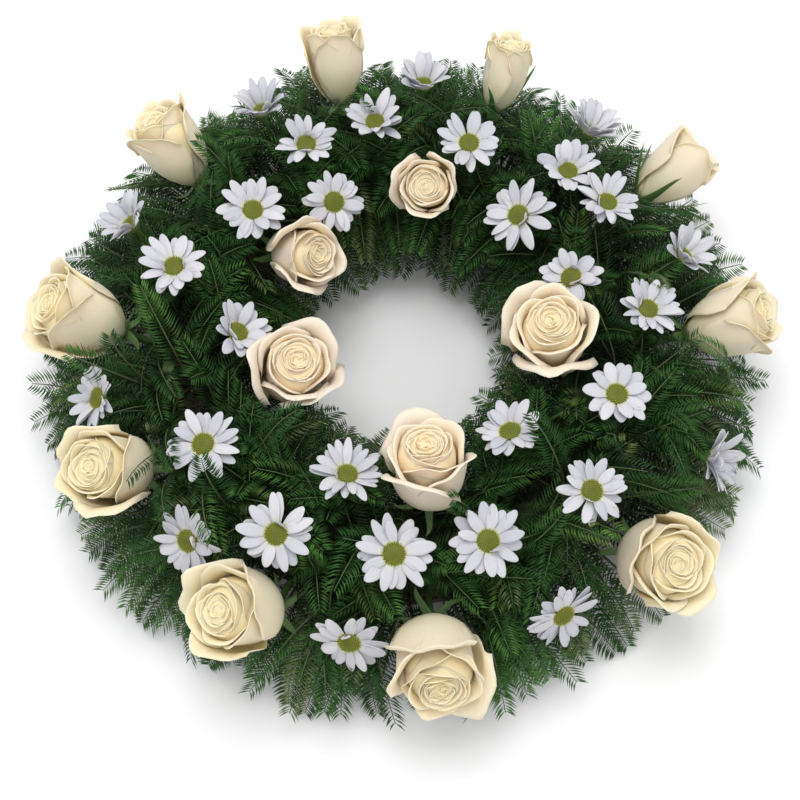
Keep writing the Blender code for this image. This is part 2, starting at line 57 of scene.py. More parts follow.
# Each wave of the straw: how often it repeats round the tube and along the ring
STRAW_WAVES = ((9, 2), (14, -3), (17, 5), (20, -2))
STRAW_WAVE_HEIGHT = 0.00042
LOOSE_STRAWS = 420
LOOSE_STRAW_POINTS = 7
LOOSE_STRAW_RADII = (0.0005, 0.0009)
TWINE_TURNS = 42
TWINE_STEPS = 18
TWINE_SPAN = 0.998
TWINE_RADIUS = 0.0007
STRAND_LOWEST = 0.0011
OUTSIDE = 0.01

# The viewpoint of the picture, which is 800 pixels wide
EYE = Vector((0.0, -0.460, 0.994))
AIM = Vector((0.0, -0.045, 0.050))
FOCAL_PX = 1325.0
PICTURE_PX = 800.0
PICTURE_CENTRE_PX = 400.0
SENSOR_MM = 36.0
SIGHT_NEAR, SIGHT_FAR, SIGHT_STEP = 0.75, 1.35, 0.001

# Floor and light: each lamp's name, place, size and power
FLOOR_SIZE = 40.0
FLOOR_COLOUR = (0.86, 0.86, 0.86, 1.0)
FLOOR_ROUGHNESS = 0.9
SKY_COLOUR = (0.98, 0.99, 1.0, 1.0)
SKY_STRENGTH = 0.92
LAMPS = [
    ("key light", (-0.2, 0.4, 2.4), 1.4, 29.0),
    ("fill light", (1.2, -1.2, 1.8), 1.6, 4.0),
]

# Roses: picture position of the head's middle, its height above the tube's centre line, its length,
# its widest half width and how far the outer petals have opened, from 0 to 1
STEM_END = 0.017
ROSE_STEM_RADIUS = 0.0028
ROSES = [
    (335, 63, 0.113, 0.066, 0.027, 0.2),
    (504, 74, 0.113, 0.062, 0.022, 0.1),
    (174, 148, 0.107, 0.068, 0.032, 0.4),
    (672, 172, 0.108, 0.068, 0.029, 0.3),
    (428, 186, 0.098, 0.056, 0.027, 0.6),
    (300, 254, 0.097, 0.060, 0.030, 0.8),
    (83, 316, 0.105, 0.070, 0.037, 0.6),
    (293, 371, 0.100, 0.062, 0.035, 0.9),
    (552, 336, 0.100, 0.062, 0.036, 1.0),
    (728, 322, 0.105, 0.068, 0.034, 0.7),
    (115, 469, 0.105, 0.070, 0.034, 0.6),
    (428, 470, 0.102, 0.062, 0.034, 0.9),
    (658, 558, 0.105, 0.070, 0.038, 0.7),
    (244, 611, 0.105, 0.068, 0.036, 0.6),
    (437, 658, 0.103, 0.066, 0.038, 0.9),
]
# Roses by number whose heads lean away from the ring's own outward direction: the picture position of
# the middle of the head's top
LEANING_ROSES = {8: (298, 358), 9: (551, 319), 11: (84, 467), 13: (683, 566), 14: (213, 611)}
# How yellow-green rather than peach each rose's petals are, from 0 to 1
ROSE_TINTS = [0.8, 0.9, 0.9, 0.6, 0.1, 0.2, 0.9, 0.0, 0.3, 0.7, 1.0, 0.1, 0.9, 1.0, 0.8]
# Roses by number whose sepals stand up along the head and curl away from it
LONG_SEPALS = (2, 4)
ROSE_PETALS = 27
# Petals up to this share of the way out make the tight whorl, and the others open round it
WHORL_SHARE = 0.70
WHORL_COLUMNS, OPEN_COLUMNS = 11, 15
BODY_ROWS, LIP_ROWS = 8, 5
PETAL_THICKNESS, OUTER_THINNER = 0.00085, 0.00030
EDGE_THICKNESS = 0.0003
CORE_SIDES = 36
CORE_RINGS = 12
CORE_WIND = 26.0
# The core's outline below its dome, as shares of the head's half width and of its length
SKIRT_WIDTHS = [0.47, 0.54, 0.60, 0.60, 0.30]
SKIRT_HEIGHTS = [0.82, 0.77, 0.69, 0.45, 0.15]
STALK_POINTS = 6
STALK_RADII = [0.0026] * 5 + [0.0027, 0.0046, 0.0058, 0.0030]
STALK_END = 0.012
SEPALS = 5
SEPAL_COLUMNS, SEPAL_ROWS = 4, 9
SEPAL_THICKNESS = 0.0005
SEPAL_ROOT = 0.0048
FLOWER_SIDES = 10
GOLDEN_ANGLE = math.pi * (3.0 - math.sqrt(5.0))

# Daisies: picture position of the disc, its height above the tube's centre line, the half width
# across the petals and how far the petals rise into a cup, in radians
DAISY_STEM_RADIUS = 0.0018
DAISY_DISC_RADIUS = 0.0080
DAISY_DISC_RISE = 0.0036
DAISIES = [
    (262, 110, 0.104, 0.027, 0.95),
    (423, 84, 0.104, 0.026, 0.95),
    (306, 144, 0.100, 0.026, 0.55),
    (375, 122, 0.098, 0.027, 0.85),
    (469, 143, 0.098, 0.027, 0.45),
    (590, 131, 0.104, 0.027, 0.95),
    (568, 171, 0.097, 0.027, 0.70),
    (607, 202, 0.104, 0.027, 0.50),
    (130, 224, 0.104, 0.027, 0.85),
    (253, 210, 0.098, 0.028, 0.40),
    (334, 202, 0.100, 0.025, 0.20),
    (174, 266, 0.100, 0.029, 0.35),
    (518, 215, 0.102, 0.030, 0.30),
    (571, 277, 0.098, 0.025, 0.35),
    (684, 256, 0.103, 0.027, 0.90),
    (648, 309, 0.100, 0.026, 0.60),
    (238, 332, 0.099, 0.025, 0.60),
    (97, 398, 0.100, 0.026, 0.50),
    (203, 444, 0.100, 0.028, 0.35),
    (617, 394, 0.100, 0.026, 0.25),
    (510, 431, 0.100, 0.026, 0.35),
    (712, 459, 0.102, 0.028, 0.90),
    (592, 491, 0.100, 0.027, 0.15),
    (347, 474, 0.100, 0.027, 0.45),
    (187, 541, 0.100, 0.027, 0.25),
    (276, 534, 0.100, 0.028, 0.20),
    (394, 554, 0.100, 0.029, 0.10),
    (488, 541, 0.104, 0.028, 0.25),
    (349, 643, 0.099, 0.027, 0.10),
    (564, 616, 0.100, 0.028, 0.10),
]
DAISY_PETAL_WIDTHS = (0.0039, 0.0052)
DAISY_PETALS_ROUND = 0.086
DAISY_PETAL_ROWS = [0.0, 0.16, 0.34, 0.52, 0.70, 0.84, 0.94, 1.0]
DAISY_PETAL_COLUMNS = 5
DAISY_PETAL_THICKNESS = 0.00042
CURLED_SHARE = 0.05
# The green cup under the disc and the stem below it: distances down from the disc, and radii
CUP_DEPTHS = (0.009, 0.006, 0.003, 0.001)
CUP_RADII = [0.0016, 0.0018, 0.0046, 0.0068, 0.0072]
FLORETS = 120
FLORET_SIDES = 5
FLORET_RADIUS = 0.00052
FLORET_LEAN = 0.7

# Balls that fill the flowers, which the fir keeps clear of
ROOM_STEP = 0.003
HEAD_BALLS = 10
PETAL_RANKS = (0.25, 0.5, 0.75, 1.0)
PETAL_SPOKES = 16
PETAL_BALL_RADIUS = 0.003

# Fir bunches and their main sprays, laid out as the solids are
BUNCHES = 12
KNOT_RADIUS = 0.007
KNOT_HEIGHT = 2 * TUBE_CENTRE_Z + KNOT_RADIUS + 0.0015
TWIG_CLEARANCE = 0.0032
TWIG_SPACING = 0.0095
KNOT_SWING = 11
KNOT_GAIN = 0.0005
BARE_SHARE = 0.30
SPRAY_POINTS = 25
SEED = 7
# How often a spray is tried in another place, after how many tries it may stray by one measure more, and
# that measure in degrees, in reach and in height
TRIES = 60
FULLY_LOOSE = 15
STRAY_TURN, STRAY_REACH, STRAY_RISE = 8.0, 0.018, 0.022
TIP_LOWEST = 0.012
# Turn from the bunch's own angle in degrees, radius and height of the tip, radius and height of the
# arch's control point and needle length
SPRAYS = [
    (-10.5, 0.287, 0.016, 0.222, 0.070, 0.019),
    (-3.5, 0.295, 0.030, 0.232, 0.088, 0.020),
    (4.0, 0.286, 0.014, 0.218, 0.068, 0.019),
    (11.0, 0.292, 0.032, 0.230, 0.088, 0.019),
    (-13.0, 0.226, 0.082, 0.190, 0.104, 0.018),
    (16.0, 0.196, 0.094, 0.182, 0.104, 0.018),
    (-9.0, 0.078, 0.040, 0.120, 0.078, 0.016),
    (7.0, 0.076, 0.064, 0.112, 0.096, 0.017),
]
# Sprays that fill in between, laid over the dome: how many to a bunch, then in degrees round the tube
# from its outer side the foot and the tip, the tip's distance from the tube's centre line, the spread
# of the tip's angle round the tube, and the turn round the ring to either side
FILL = [
    (8, 22, -7, 0.121, 3, 5),
    (8, 38, 8, 0.116, 5, 7),
    (6, 58, 24, 0.108, 7, 12),
    (6, 80, 42, 0.100, 8, 20),
    (7, 62, 72, 0.093, 12, 30),
    (7, 118, 92, 0.091, 12, 32),
    (6, 84, 118, 0.091, 10, 26),
    (5, 104, 140, 0.089, 8, 18),
    (4, 126, 162, 0.088, 6, 12),
    (4, 150, 182, 0.090, 4, 8),
    (3, 84, 66, 0.108, 16, 26),
]
FILL_TRIES = 50
FILL_ROOT = 0.034
FILL_NEEDLES = (0.0145, 0.019)
FILL_LOWEST = 0.007
FILL_CLEARANCE = 0.0008
# Sprays whose tips lie over a bloom: picture position and height of the foot, then of the tip
LAID_OVER = [
    (158, 453, 0.100, 126, 482, 0.128),
    (112, 372, 0.100, 68, 354, 0.127),
    (132, 366, 0.100, 110, 336, 0.130),
    (266, 440, 0.095, 299, 409, 0.127),
    (166, 482, 0.095, 165, 515, 0.117),
    (203, 492, 0.095, 211, 541, 0.118),
    (217, 492, 0.095, 201, 458, 0.120),
    (228, 172, 0.095, 197, 140, 0.127),
    (722, 372, 0.095, 700, 340, 0.128),
    (556, 458, 0.095, 531, 415, 0.117),
    (470, 512, 0.090, 452, 500, 0.124),
]
LAID_BACK, LAID_SUNK = 0.5, 0.020
LAID_ARCH = 0.7
LAID_NEEDLE = 0.0145

# Side twigs that fork off the sprays that reach past a radius: where along the spray, how long, how far
# they splay, and how long their needles are beside the spray's own
FORKED_REACH = 0.26
FORK_SHARES = [0.42, 0.55]
FORK_LENGTHS = (0.045, 0.060)
FORK_SPLAYS = (0.55, 0.75)
FORK_NEEDLES = 0.85
FORK_LOWEST = 0.008

# Twigs and needles
MAIN_BARE, FORK_BARE, FILL_BARE = BARE_SHARE * 0.6, 0.06, 0.10
TWIG_POINTS, TWIG_SIDES = 8, 4
TWIG_RADIUS, TWIG_TAPER = 0.0011, 0.0008
NEEDLE_WIDTH = 0.0015
NEEDLE_SPACINGS = (0.0020, 0.0026)
LEAST_PAIRS = 6
# The needles' slant from the twig in degrees at its foot, and how much less it is at the tip
NEEDLE_SLANT, SLANT_LOST = 74.0, 30.0
# A needle's keel and its ridge below and above its edges, in widths
NEEDLE_KEEL, NEEDLE_RIDGE = 0.12, 0.28
NEEDLE_OVERLAP = 0.0005
LOWEST = 0.0008
# How far from the tube's centre line the fir's painted shade deep in the wreath starts to lift, and how
# much further it is gone
PAINTED_SHADE_DISTANCE, PAINTED_SHADE_FADE = 0.045, 0.050
STICKS = 7
STICK_POINTS, STICK_SIDES = 5, 6
STICK_RADIUS = 0.0016
STICK_SPREAD, STICK_END, STICK_FOOT = 0.0035, 0.005, 0.012

# Slots of the finishes on the pieces
NEEDLE, TWIG = 0, 1
PETAL, ROSE_GREEN = 0, 1
DISC, DAISY_GREEN = 1, 2
STRAW, TWINE = 0, 1


def around(angle):
    """The unit vector that points away from the wreath's axis at an angle in radians."""
    return Vector((math.cos(angle), math.sin(angle), 0.0))


def tube_centre(point):
    """The nearest point of the straw tube's centre line."""
    out = Vector((point.x, point.y, 0.0)).normalized()
    return out * RING_RADIUS + Vector((0.0, 0.0, TUBE_CENTRE_Z))


def outward(point):
    """The direction away from the tube's centre line."""
    return (point - tube_centre(point)).normalized()


def picture_ray(x_px, y_px):
    """The direction from the eye through a point of the picture."""
    ahead = (AIM - EYE).normalized()
    right = ahead.cross(Vector((0.0, 0.0, 1.0))).normalized()
    up = right.cross(ahead)
    across = (x_px - PICTURE_CENTRE_PX) / FOCAL_PX
    above = (PICTURE_CENTRE_PX - y_px) / FOCAL_PX
    return (ahead + right * across + up * above).normalized()


def seat(x_px, y_px, height):
    """Where the ray through a picture point first comes within a height of the tube's centre line, or
    its nearest pass where it stays further away."""
    ray = picture_ray(x_px, y_px)
    best, best_gap = None, math.inf
    for distance in np.arange(SIGHT_NEAR, SIGHT_FAR, SIGHT_STEP):
        point = EYE + ray * distance
        gap = (point - tube_centre(point)).length - height
        if gap < best_gap:
            best, best_gap = point, gap
        if gap <= 0:
            break
    return best


def stem_line(point):
    """A stem that ends at a point: its foot on the tube's centre line, its direction and its length
    from that foot."""
    centre = tube_centre(point)
    return centre, (point - centre).normalized(), (point - centre).length


def rose_head(number):
    """A rose head's base and direction, by the rose's number. A leaning head's top lies on the ray
    through its picture position, half a head's length from the head's middle and on the viewer's side."""
    x_px, y_px, height, length = ROSES[number - 1][:4]
    middle = seat(x_px, y_px, height)
    head = outward(middle)
    if number in LEANING_ROSES:
        ray = picture_ray(*LEANING_ROSES[number])
        closest = EYE + ray * (middle - EYE).dot(ray)
        nearer = math.sqrt(max(0.0, (length / 2) ** 2 - (closest - middle).length_squared))
        head = (closest - ray * nearer - middle).normalized()
    return middle - head * (length / 2), head


def rose_line(number):
    """A rose's stem, as stem_line gives it."""
    return stem_line(rose_head(number)[0])


def daisy_line(spec):
    """A daisy's stem, as stem_line gives it."""
    return stem_line(seat(spec[0], spec[1], spec[2]))


def flower_room():
    """Balls that fill every stem and head, as rows of a point and its radius."""
    rows = []
    for number, spec in enumerate(ROSES, 1):
        centre, way, away = rose_line(number)
        base, head = rose_head(number)
        length, half = spec[3], spec[4]
        for along in np.arange(STEM_END, away, ROOM_STEP):
            rows.append((*(centre + way * along), ROSE_STEM_RADIUS))
        for share in np.linspace(0.1, 1.0, HEAD_BALLS):
            rows.append((*(base + head * (length * share)), half * min(1.0, 0.35 + 1.5 * share)))
    for spec in DAISIES:
        centre, way, away = daisy_line(spec)
        half, cup = spec[3], spec[4]
        side = way.orthogonal().normalized()
        for along in np.arange(STEM_END, away, ROOM_STEP):
            rows.append((*(centre + way * along), DAISY_STEM_RADIUS))
        for share in PETAL_RANKS:
            rise = way * (away + half * share * math.sin(cup))
            for spoke in range(PETAL_SPOKES):
                rim = Matrix.Rotation(math.tau * spoke / PETAL_SPOKES, 3, way) @ side
                rows.append((*(centre + rise + rim * half * share * math.cos(cup)), PETAL_BALL_RADIUS))
    return np.array(rows)


class Spray:
    """A fir spray's line from its foot to its tip: an arch with a flat comb of needles."""

    def __init__(self, start, control, tip, needle):
        self.start, self.control, self.tip, self.needle = start, control, tip, needle

    def at(self, share):
        """The point of the arch at a share of its length."""
        back = 1.0 - share
        return self.start * back * back + self.control * 2 * back * share + self.tip * share * share

    def rows(self):
        """Points along the twig, each with its share of the length."""
        return np.array([(*self.at(share), share) for share in np.linspace(0.0, 1.0, SPRAY_POINTS)])

    def frames(self, shares):
        """Points, ways ahead, sides and upward directions at several shares of the length."""
        start, control, tip = np.array(self.start), np.array(self.control), np.array(self.tip)
        share = np.asarray(shares)[:, None]
        points = start * (1 - share) ** 2 + control * 2 * share * (1 - share) + tip * share**2
        ahead = unit((control - start) * (1 - share) + (tip - control) * share)
        sides = unit(np.cross(points - core_points(points), ahead))
        return points, ahead, sides, np.cross(ahead, sides)


def unit(rows):
    """Rows scaled to unit length."""
    return rows / np.maximum(np.linalg.norm(rows, axis=-1, keepdims=True), 1e-12)


def core_points(points):
    """The straw tube's centre line where it is nearest to each of several points."""
    return unit(points * [1.0, 1.0, 0.0]) * RING_RADIUS + [0.0, 0.0, TUBE_CENTRE_Z]


def nearest(rows, others):
    """The least distance between two sets of points."""
    return np.linalg.norm(rows[:, None, :3] - others[None, :, :3], axis=2).min()


def room_gap(rows, room):
    """The least distance from points to the balls that fill the flowers."""
    return (np.linalg.norm(rows[:, None, :3] - room[None, :, :3], axis=2) - room[None, :, 3]).min()


def knot_place(angle):
    """The middle of the knot of a bunch."""
    return around(angle) * RING_RADIUS + Vector((0.0, 0.0, KNOT_HEIGHT))


def knot_angles(room):
    """An angle for each bunch, as near its sector's middle as the flower stems allow."""
    angles = []
    for index in range(BUNCHES):
        middle = math.tau * (index + 0.5) / BUNCHES
        best, best_gap = middle, -math.inf
        for degrees in sorted(range(-KNOT_SWING, KNOT_SWING + 1), key=abs):
            angle = middle + math.radians(degrees)
            knot = np.array(knot_place(angle))
            gap = (np.linalg.norm(room[:, :3] - knot, axis=1) - room[:, 3]).min() - KNOT_RADIUS
            if gap > best_gap + KNOT_GAIN:
                best, best_gap = angle, gap
            if gap > TWIG_CLEARANCE:
                break
        angles.append(best)
    return angles


def spray_fits(spray, room, others, own):
    """Whether a spray's twig stays clear of the flowers and far enough from the other twigs."""
    rows = spray.rows()
    if room_gap(rows, room) < TWIG_CLEARANCE:
        return False
    needled = rows[rows[:, 3] > BARE_SHARE]
    if any(nearest(rows, other) < TWIG_SPACING for other in others):
        return False
    return not any(nearest(needled, other[other[:, 3] > BARE_SHARE]) < TWIG_SPACING for other in own)


def main_sprays(room):
    """Each bunch's knot and main sprays, bent aside or left out where flowers stand."""
    angles = knot_angles(room)
    knots = [knot_place(angle) for angle in angles]
    bunches, others = [], []
    for number, (angle, knot) in enumerate(zip(angles, knots)):
        far_knots = [np.array([(*place, 0.0)]) for place in knots if place is not knot]
        kept, own = [], []
        for row, (turn, tip_radius, tip_z, bend_radius, bend_z, needle) in enumerate(SPRAYS):
            draw = random.Random(SEED + 100 * number + row)
            for attempt in range(TRIES):
                loose = min(1.0, 0.1 + attempt / FULLY_LOOSE)
                tip_angle = angle + math.radians(turn + STRAY_TURN * loose * draw.uniform(-1.0, 1.0))
                bend_angle = angle + (tip_angle - angle) * draw.uniform(0.2, 0.7)
                inward = math.copysign(STRAY_REACH * loose * draw.random(), RING_RADIUS - tip_radius)
                rise = tip_z + STRAY_RISE * loose * draw.uniform(-0.5, 1.0)
                bend = bend_z + STRAY_RISE * loose * draw.uniform(-0.6, 1.0)
                control = around(bend_angle) * bend_radius + Vector((0.0, 0.0, bend))
                tip = around(tip_angle) * (tip_radius + inward) + Vector((0.0, 0.0, max(rise, TIP_LOWEST)))
                spray = Spray(knot, control, tip, needle)
                if spray_fits(spray, room, others + far_knots, own):
                    kept.append(spray)
                    own.append(spray.rows())
                    break
        others += own
        bunches.append((knot, kept))
    return bunches


def on_dome(ring_angle, tube_angle, distance):
    """A point at an angle round the ring, an angle round the tube from its outer side, and a distance
    from the tube's centre line."""
    flat = RING_RADIUS + distance * math.cos(tube_angle)
    return around(ring_angle) * flat + Vector((0.0, 0.0, TUBE_CENTRE_Z + distance * math.sin(tube_angle)))


def fill_sprays(number, room):
    """The sprays that fill a bunch's sector of the wreath, from the straw outwards."""
    draw = random.Random(SEED * 31 + number)
    sprays = []
    for count, foot, tip, reach, spread, turn in FILL:
        for place in range(count):
            for attempt in range(FILL_TRIES):
                loose = 1.0 + attempt / FULLY_LOOSE
                start = math.tau * (number + (place + draw.uniform(0.1, 0.9)) / count) / BUNCHES
                end = start + math.radians(turn * draw.uniform(-1.0, 1.0) * loose)
                low = math.radians(foot + spread * draw.uniform(-1.0, 1.0))
                high = math.radians(tip + spread * draw.uniform(-1.0, 1.0) * loose)
                far = reach * draw.uniform(0.86, 1.03) * (1.0 - 0.25 * attempt / FILL_TRIES)
                middle = low + (high - low) * draw.uniform(0.25, 0.5)
                spray = Spray(
                    on_dome(start, low, FILL_ROOT),
                    on_dome(start + (end - start) * 0.35, middle, far * draw.uniform(0.80, 0.92)),
                    on_dome(end, high, far),
                    draw.uniform(*FILL_NEEDLES),
                )
                spray.tip.z = max(spray.tip.z, FILL_LOWEST)
                if room_gap(spray.rows(), room) > FILL_CLEARANCE:
                    sprays.append(spray)
                    break
    return sprays


def laid_sprays(number):
    """The sprays of a bunch's sector that reach over a bloom."""
    sprays = []
    for foot_x, foot_y, foot_height, tip_x, tip_y, tip_height in LAID_OVER:
        start = seat(foot_x, foot_y, foot_height)
        tip = seat(tip_x, tip_y, tip_height)
        if int(math.atan2(start.y, start.x) % math.tau / math.tau * BUNCHES) != number:
            continue
        root = start + (start - tip) * LAID_BACK - outward(start) * LAID_SUNK
        control = start + outward(start) * (tip_height - foot_height) * LAID_ARCH
        sprays.append(Spray(root, control, tip, LAID_NEEDLE))
    return sprays


def side_sprays(spray, draw):
    """Two side twigs that fork off an outer spray."""
    points, ahead, sides, _ = spray.frames(FORK_SHARES)
    made = []
    for index, sign in enumerate(draw.sample((-1, 1), 2)):
        long = draw.uniform(*FORK_LENGTHS)
        way = unit(ahead[index] + sides[index] * sign * draw.uniform(*FORK_SPLAYS))
        control = points[index] + way * long * 0.5
        tip = points[index] + unit(way + ahead[index] * 0.4) * long
        tip[2] = max(tip[2], FORK_LOWEST)
        made.append(Spray(Vector(points[index]), Vector(control), Vector(tip), spray.needle * FORK_NEEDLES))
    return made


class Build:
    """Collects points and faces for one mesh, with four values to each point that its material reads."""

    def __init__(self):
        self.points, self.faces, self.slots, self.marks, self.count = [], [], [], [], 0

    def add(self, points, faces, slot, tone, along, across=0.0, tint_and_depth_shade=0.0):
        """Adds points and the faces between them, counted from the first of these points."""
        points = np.asarray(points, dtype=float).reshape(-1, 3)
        marks = np.empty((len(points), 4))
        marks[:, 0], marks[:, 1], marks[:, 2], marks[:, 3] = tone, along, across, tint_and_depth_shade
        self.points.append(points)
        self.marks.append(marks)
        for block in faces:
            self.faces.append(np.asarray(block) + self.count)
            self.slots.append(np.full(len(block), slot))
        self.count += len(points)

    def add_petal(self, grid, thickness, tone, tint_and_depth_shade=0.0):
        """Adds a petal as a closed sheet about its grid, marked along and across it."""
        points, faces = shell(grid, thickness)
        columns, rows = grid.shape[:2]
        across = np.repeat(np.linspace(-1.0, 1.0, columns), rows)
        along = np.tile(np.linspace(0.0, 1.0, rows), columns)
        self.add(points, faces, PETAL, tone, np.tile(along, 2), np.tile(across, 2), tint_and_depth_shade)

    def piece(self, name, finishes, slot, *nodes):
        """Makes the mesh, rides it on the wreath's one body and lets it stand for the nodes."""
        mesh = bpy.data.meshes.new(name)
        points = np.concatenate(self.points) + OFFSET
        mesh.vertices.add(len(points))
        mesh.vertices.foreach_set("co", points.astype(np.float32).ravel())
        corners = np.concatenate([block.ravel() for block in self.faces])
        sizes = np.concatenate([np.full(len(block), block.shape[1]) for block in self.faces])
        mesh.loops.add(len(corners))
        mesh.loops.foreach_set("vertex_index", corners.astype(np.int32))
        mesh.polygons.add(len(sizes))
        mesh.polygons.foreach_set("loop_start", (np.cumsum(sizes) - sizes).astype(np.int32))
        mesh.polygons.foreach_set("material_index", np.concatenate(self.slots).astype(np.int32))
        marks = np.concatenate(self.marks).astype(np.float32)
        for column, title in enumerate(("tone", "along", "across", "tint_and_depth_shade")):
            mesh.attributes.new(title, "FLOAT", "POINT").data.foreach_set("value", marks[:, column].copy())
        mesh.update(calc_edges=True)
        mesh.validate()
        made = bpy.data.objects.new(name, mesh)
        bpy.context.scene.collection.objects.link(made)
        for finish in finishes:
            mesh.materials.append(finish)
        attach(made, "root")
        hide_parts(*nodes)


def shell(grid, thickness):
    """A closed sheet of a thickness about a grid of points: its points and faces."""
    across, along = grid.shape[:2]
    normals = unit(np.cross(np.gradient(grid, axis=0), np.gradient(grid, axis=1)))
    lift = normals * np.asarray(thickness)[..., None] / 2
    points = np.concatenate([(grid + lift).reshape(-1, 3), (grid - lift).reshape(-1, 3)])
    index = np.arange(across * along).reshape(across, along)
    top = np.stack([index[:-1, :-1], index[1:, :-1], index[1:, 1:], index[:-1, 1:]], axis=-1).reshape(-1, 4)
    bottom = (top + across * along)[:, ::-1]
    loop = np.concatenate([index[0, :-1], index[:-1, -1], index[-1, :0:-1], index[:0:-1, 0]])
    after = np.roll(loop, -1)
    rim = np.stack([loop, after, after + across * along, loop + across * along], axis=-1)
    return points, [top, bottom, rim]


def sweep(path, radii, normals, sides):
    """A closed tube along a path: its points and faces. The normals are square to the path."""
    path, radii, normals = np.asarray(path), np.asarray(radii), np.asarray(normals)
    ways = unit(np.gradient(path, axis=0))
    other = np.cross(ways, normals)
    turns = math.tau * np.arange(sides) / sides
    ring = normals[:, None] * np.cos(turns)[None, :, None] + other[:, None] * np.sin(turns)[None, :, None]
    points = (path[:, None] + ring * radii[:, None, None]).reshape(-1, 3)
    index = np.arange(len(path) * sides).reshape(len(path), sides)
    after = np.roll(index, -1, axis=1)
    walls = np.stack([index[:-1], after[:-1], after[1:], index[1:]], axis=-1).reshape(-1, 4)
    return points, [walls, index[:1, ::-1], index[-1:]]


def spikes(bases, middles, tips, ups, width):
    """Slender needles, each flat below and ridged above: points and faces for all of them together."""
    sides = unit(np.cross(tips - bases, ups))
    points = np.stack(
        [
            bases,
            middles - sides * width / 2 - ups * width * NEEDLE_KEEL,
            middles + sides * width / 2 - ups * width * NEEDLE_KEEL,
            middles + ups * width * NEEDLE_RIDGE,
            tips,
        ],
        axis=1,
    )
    first = np.arange(len(bases))[:, None] * 5
    faces = [[0, 3, 1], [0, 2, 3], [0, 1, 2], [4, 1, 3], [4, 3, 2], [4, 2, 1]]
    return points.reshape(-1, 3), [np.concatenate([first + face for face in faces])]


def comb(build, spray, room, draw, bare):
    """One fir spray: its twig and two ranks of needles on either side."""
    length = (spray.control - spray.start).length / 2 + (spray.tip - spray.control).length / 2
    length = max(length, (spray.tip - spray.start).length)
    shares = np.linspace(0.0, 1.0, TWIG_POINTS)
    points, _, _, up = spray.frames(shares)
    tone = draw.random()
    twig, faces = sweep(points, TWIG_RADIUS - TWIG_TAPER * shares, up, TWIG_SIDES)
    twig[:, 2] = np.maximum(twig[:, 2], LOWEST)
    build.add(twig, faces, TWIG, tone, np.repeat(shares, TWIG_SIDES))
    pairs = max(LEAST_PAIRS, int(length * (1.0 - bare) / draw.uniform(*NEEDLE_SPACINGS)))
    noise = np.random.default_rng(int(draw.random() * 1e9))
    share = bare + (1.0 - bare) * (np.arange(pairs) + 0.5) / pairs
    share = np.concatenate([share, share]) + noise.normal(0.0, 0.10 / pairs, pairs * 2)
    sign = np.repeat([-1.0, 1.0], pairs)[:, None]
    points, ahead, sides, up = spray.frames(np.clip(share, 0.0, 1.0))
    part = np.clip((share - bare) / (1.0 - bare), 0.0, 1.0)
    reach = spray.needle * (0.30 + 0.70 * np.sin(math.pi * np.clip(part * 0.80 + 0.14, 0, 1)) ** 0.8)
    reach = (reach * noise.uniform(0.90, 1.05, pairs * 2))[:, None]
    slant = np.radians(NEEDLE_SLANT - SLANT_LOST * part**2 + noise.normal(0.0, 2.2, pairs * 2))[:, None]
    rank = 0.12 + noise.normal(0.0, 0.03, (pairs * 2, 1))
    ways = unit(sides * sign * np.sin(slant) + ahead * np.cos(slant) + up * rank)
    ups = unit(up - ways * (up * ways).sum(axis=1, keepdims=True))
    middles = points + ways * reach * 0.5 - ahead * reach * 0.05
    tips = points + ways * reach + ahead * reach * 0.12 - up * reach * 0.10
    spots = np.concatenate([middles, tips])
    gaps = np.linalg.norm(spots[:, None] - room[None, :, :3], axis=2) - room[None, :, 3]
    clear = gaps.min(axis=1).reshape(2, -1).min(axis=0) > -NEEDLE_OVERLAP
    needles, faces = spikes(points[clear], middles[clear], tips[clear], ups[clear], NEEDLE_WIDTH)
    needles[:, 2] = np.maximum(needles[:, 2], LOWEST)
    count = int(clear.sum())
    tones = np.repeat(np.clip(tone + noise.normal(0.0, 0.03, count), 0.0, 1.0), 5)
    along = np.tile([0.0, 0.5, 0.5, 0.5, 1.0], count)
    # Painted shade: needles close to the tube's centre line, deep in the wreath where shade falls, are
    # darkened, and lift to full colour further out
    distance = np.linalg.norm(points[clear] - core_points(points[clear]), axis=1)
    light = np.clip((distance - PAINTED_SHADE_DISTANCE) / PAINTED_SHADE_FADE, 0.0, 1.0)
    # Each needle carries its share along the spray, which the finish darkens towards the foot, partly for
    # older needles and partly as painted shade deep under the other sprays
    build.add(needles, faces, NEEDLE, tones, along, np.repeat(part[clear], 5), np.repeat(light, 5))


def bunch_piece(number, bunch, room, finishes):
    """One bunch of fir: main sprays with their forks, filling sprays, and the woody ends."""
    knot, sprays = bunch
    draw = random.Random(SEED * 57 + number)
    build = Build()
    for spray in sprays:
        comb(build, spray, room, draw, MAIN_BARE)
        if spray.tip.xy.length > FORKED_REACH:
            for fork in side_sprays(spray, draw):
                if room_gap(fork.rows(), room) > 0.0:
                    comb(build, fork, room, draw, FORK_BARE)
    for spray in fill_sprays(number, room) + laid_sprays(number):
        comb(build, spray, room, draw, FILL_BARE)
    foot = np.array([knot.x, knot.y, TUBE_CENTRE_Z + STICK_FOOT])
    radii = np.full(STICK_POINTS, STICK_RADIUS)
    normals = np.tile([[1.0, 0.0, 0.0]], (STICK_POINTS, 1))
    for turn in range(STICKS):
        lean = np.array(around(turn * GOLDEN_ANGLE)) * STICK_SPREAD
        path = np.linspace(foot + lean * 0.3, np.array(knot) + lean + [0, 0, STICK_END], STICK_POINTS)
        stick, faces = sweep(path, radii, normals, STICK_SIDES)
        build.add(stick, faces, TWIG, 0.3, 0.0)
    name = f"fir_bunch_{number + 1:02d}"
    build.piece(name + "_needles", finishes, "fir", name)


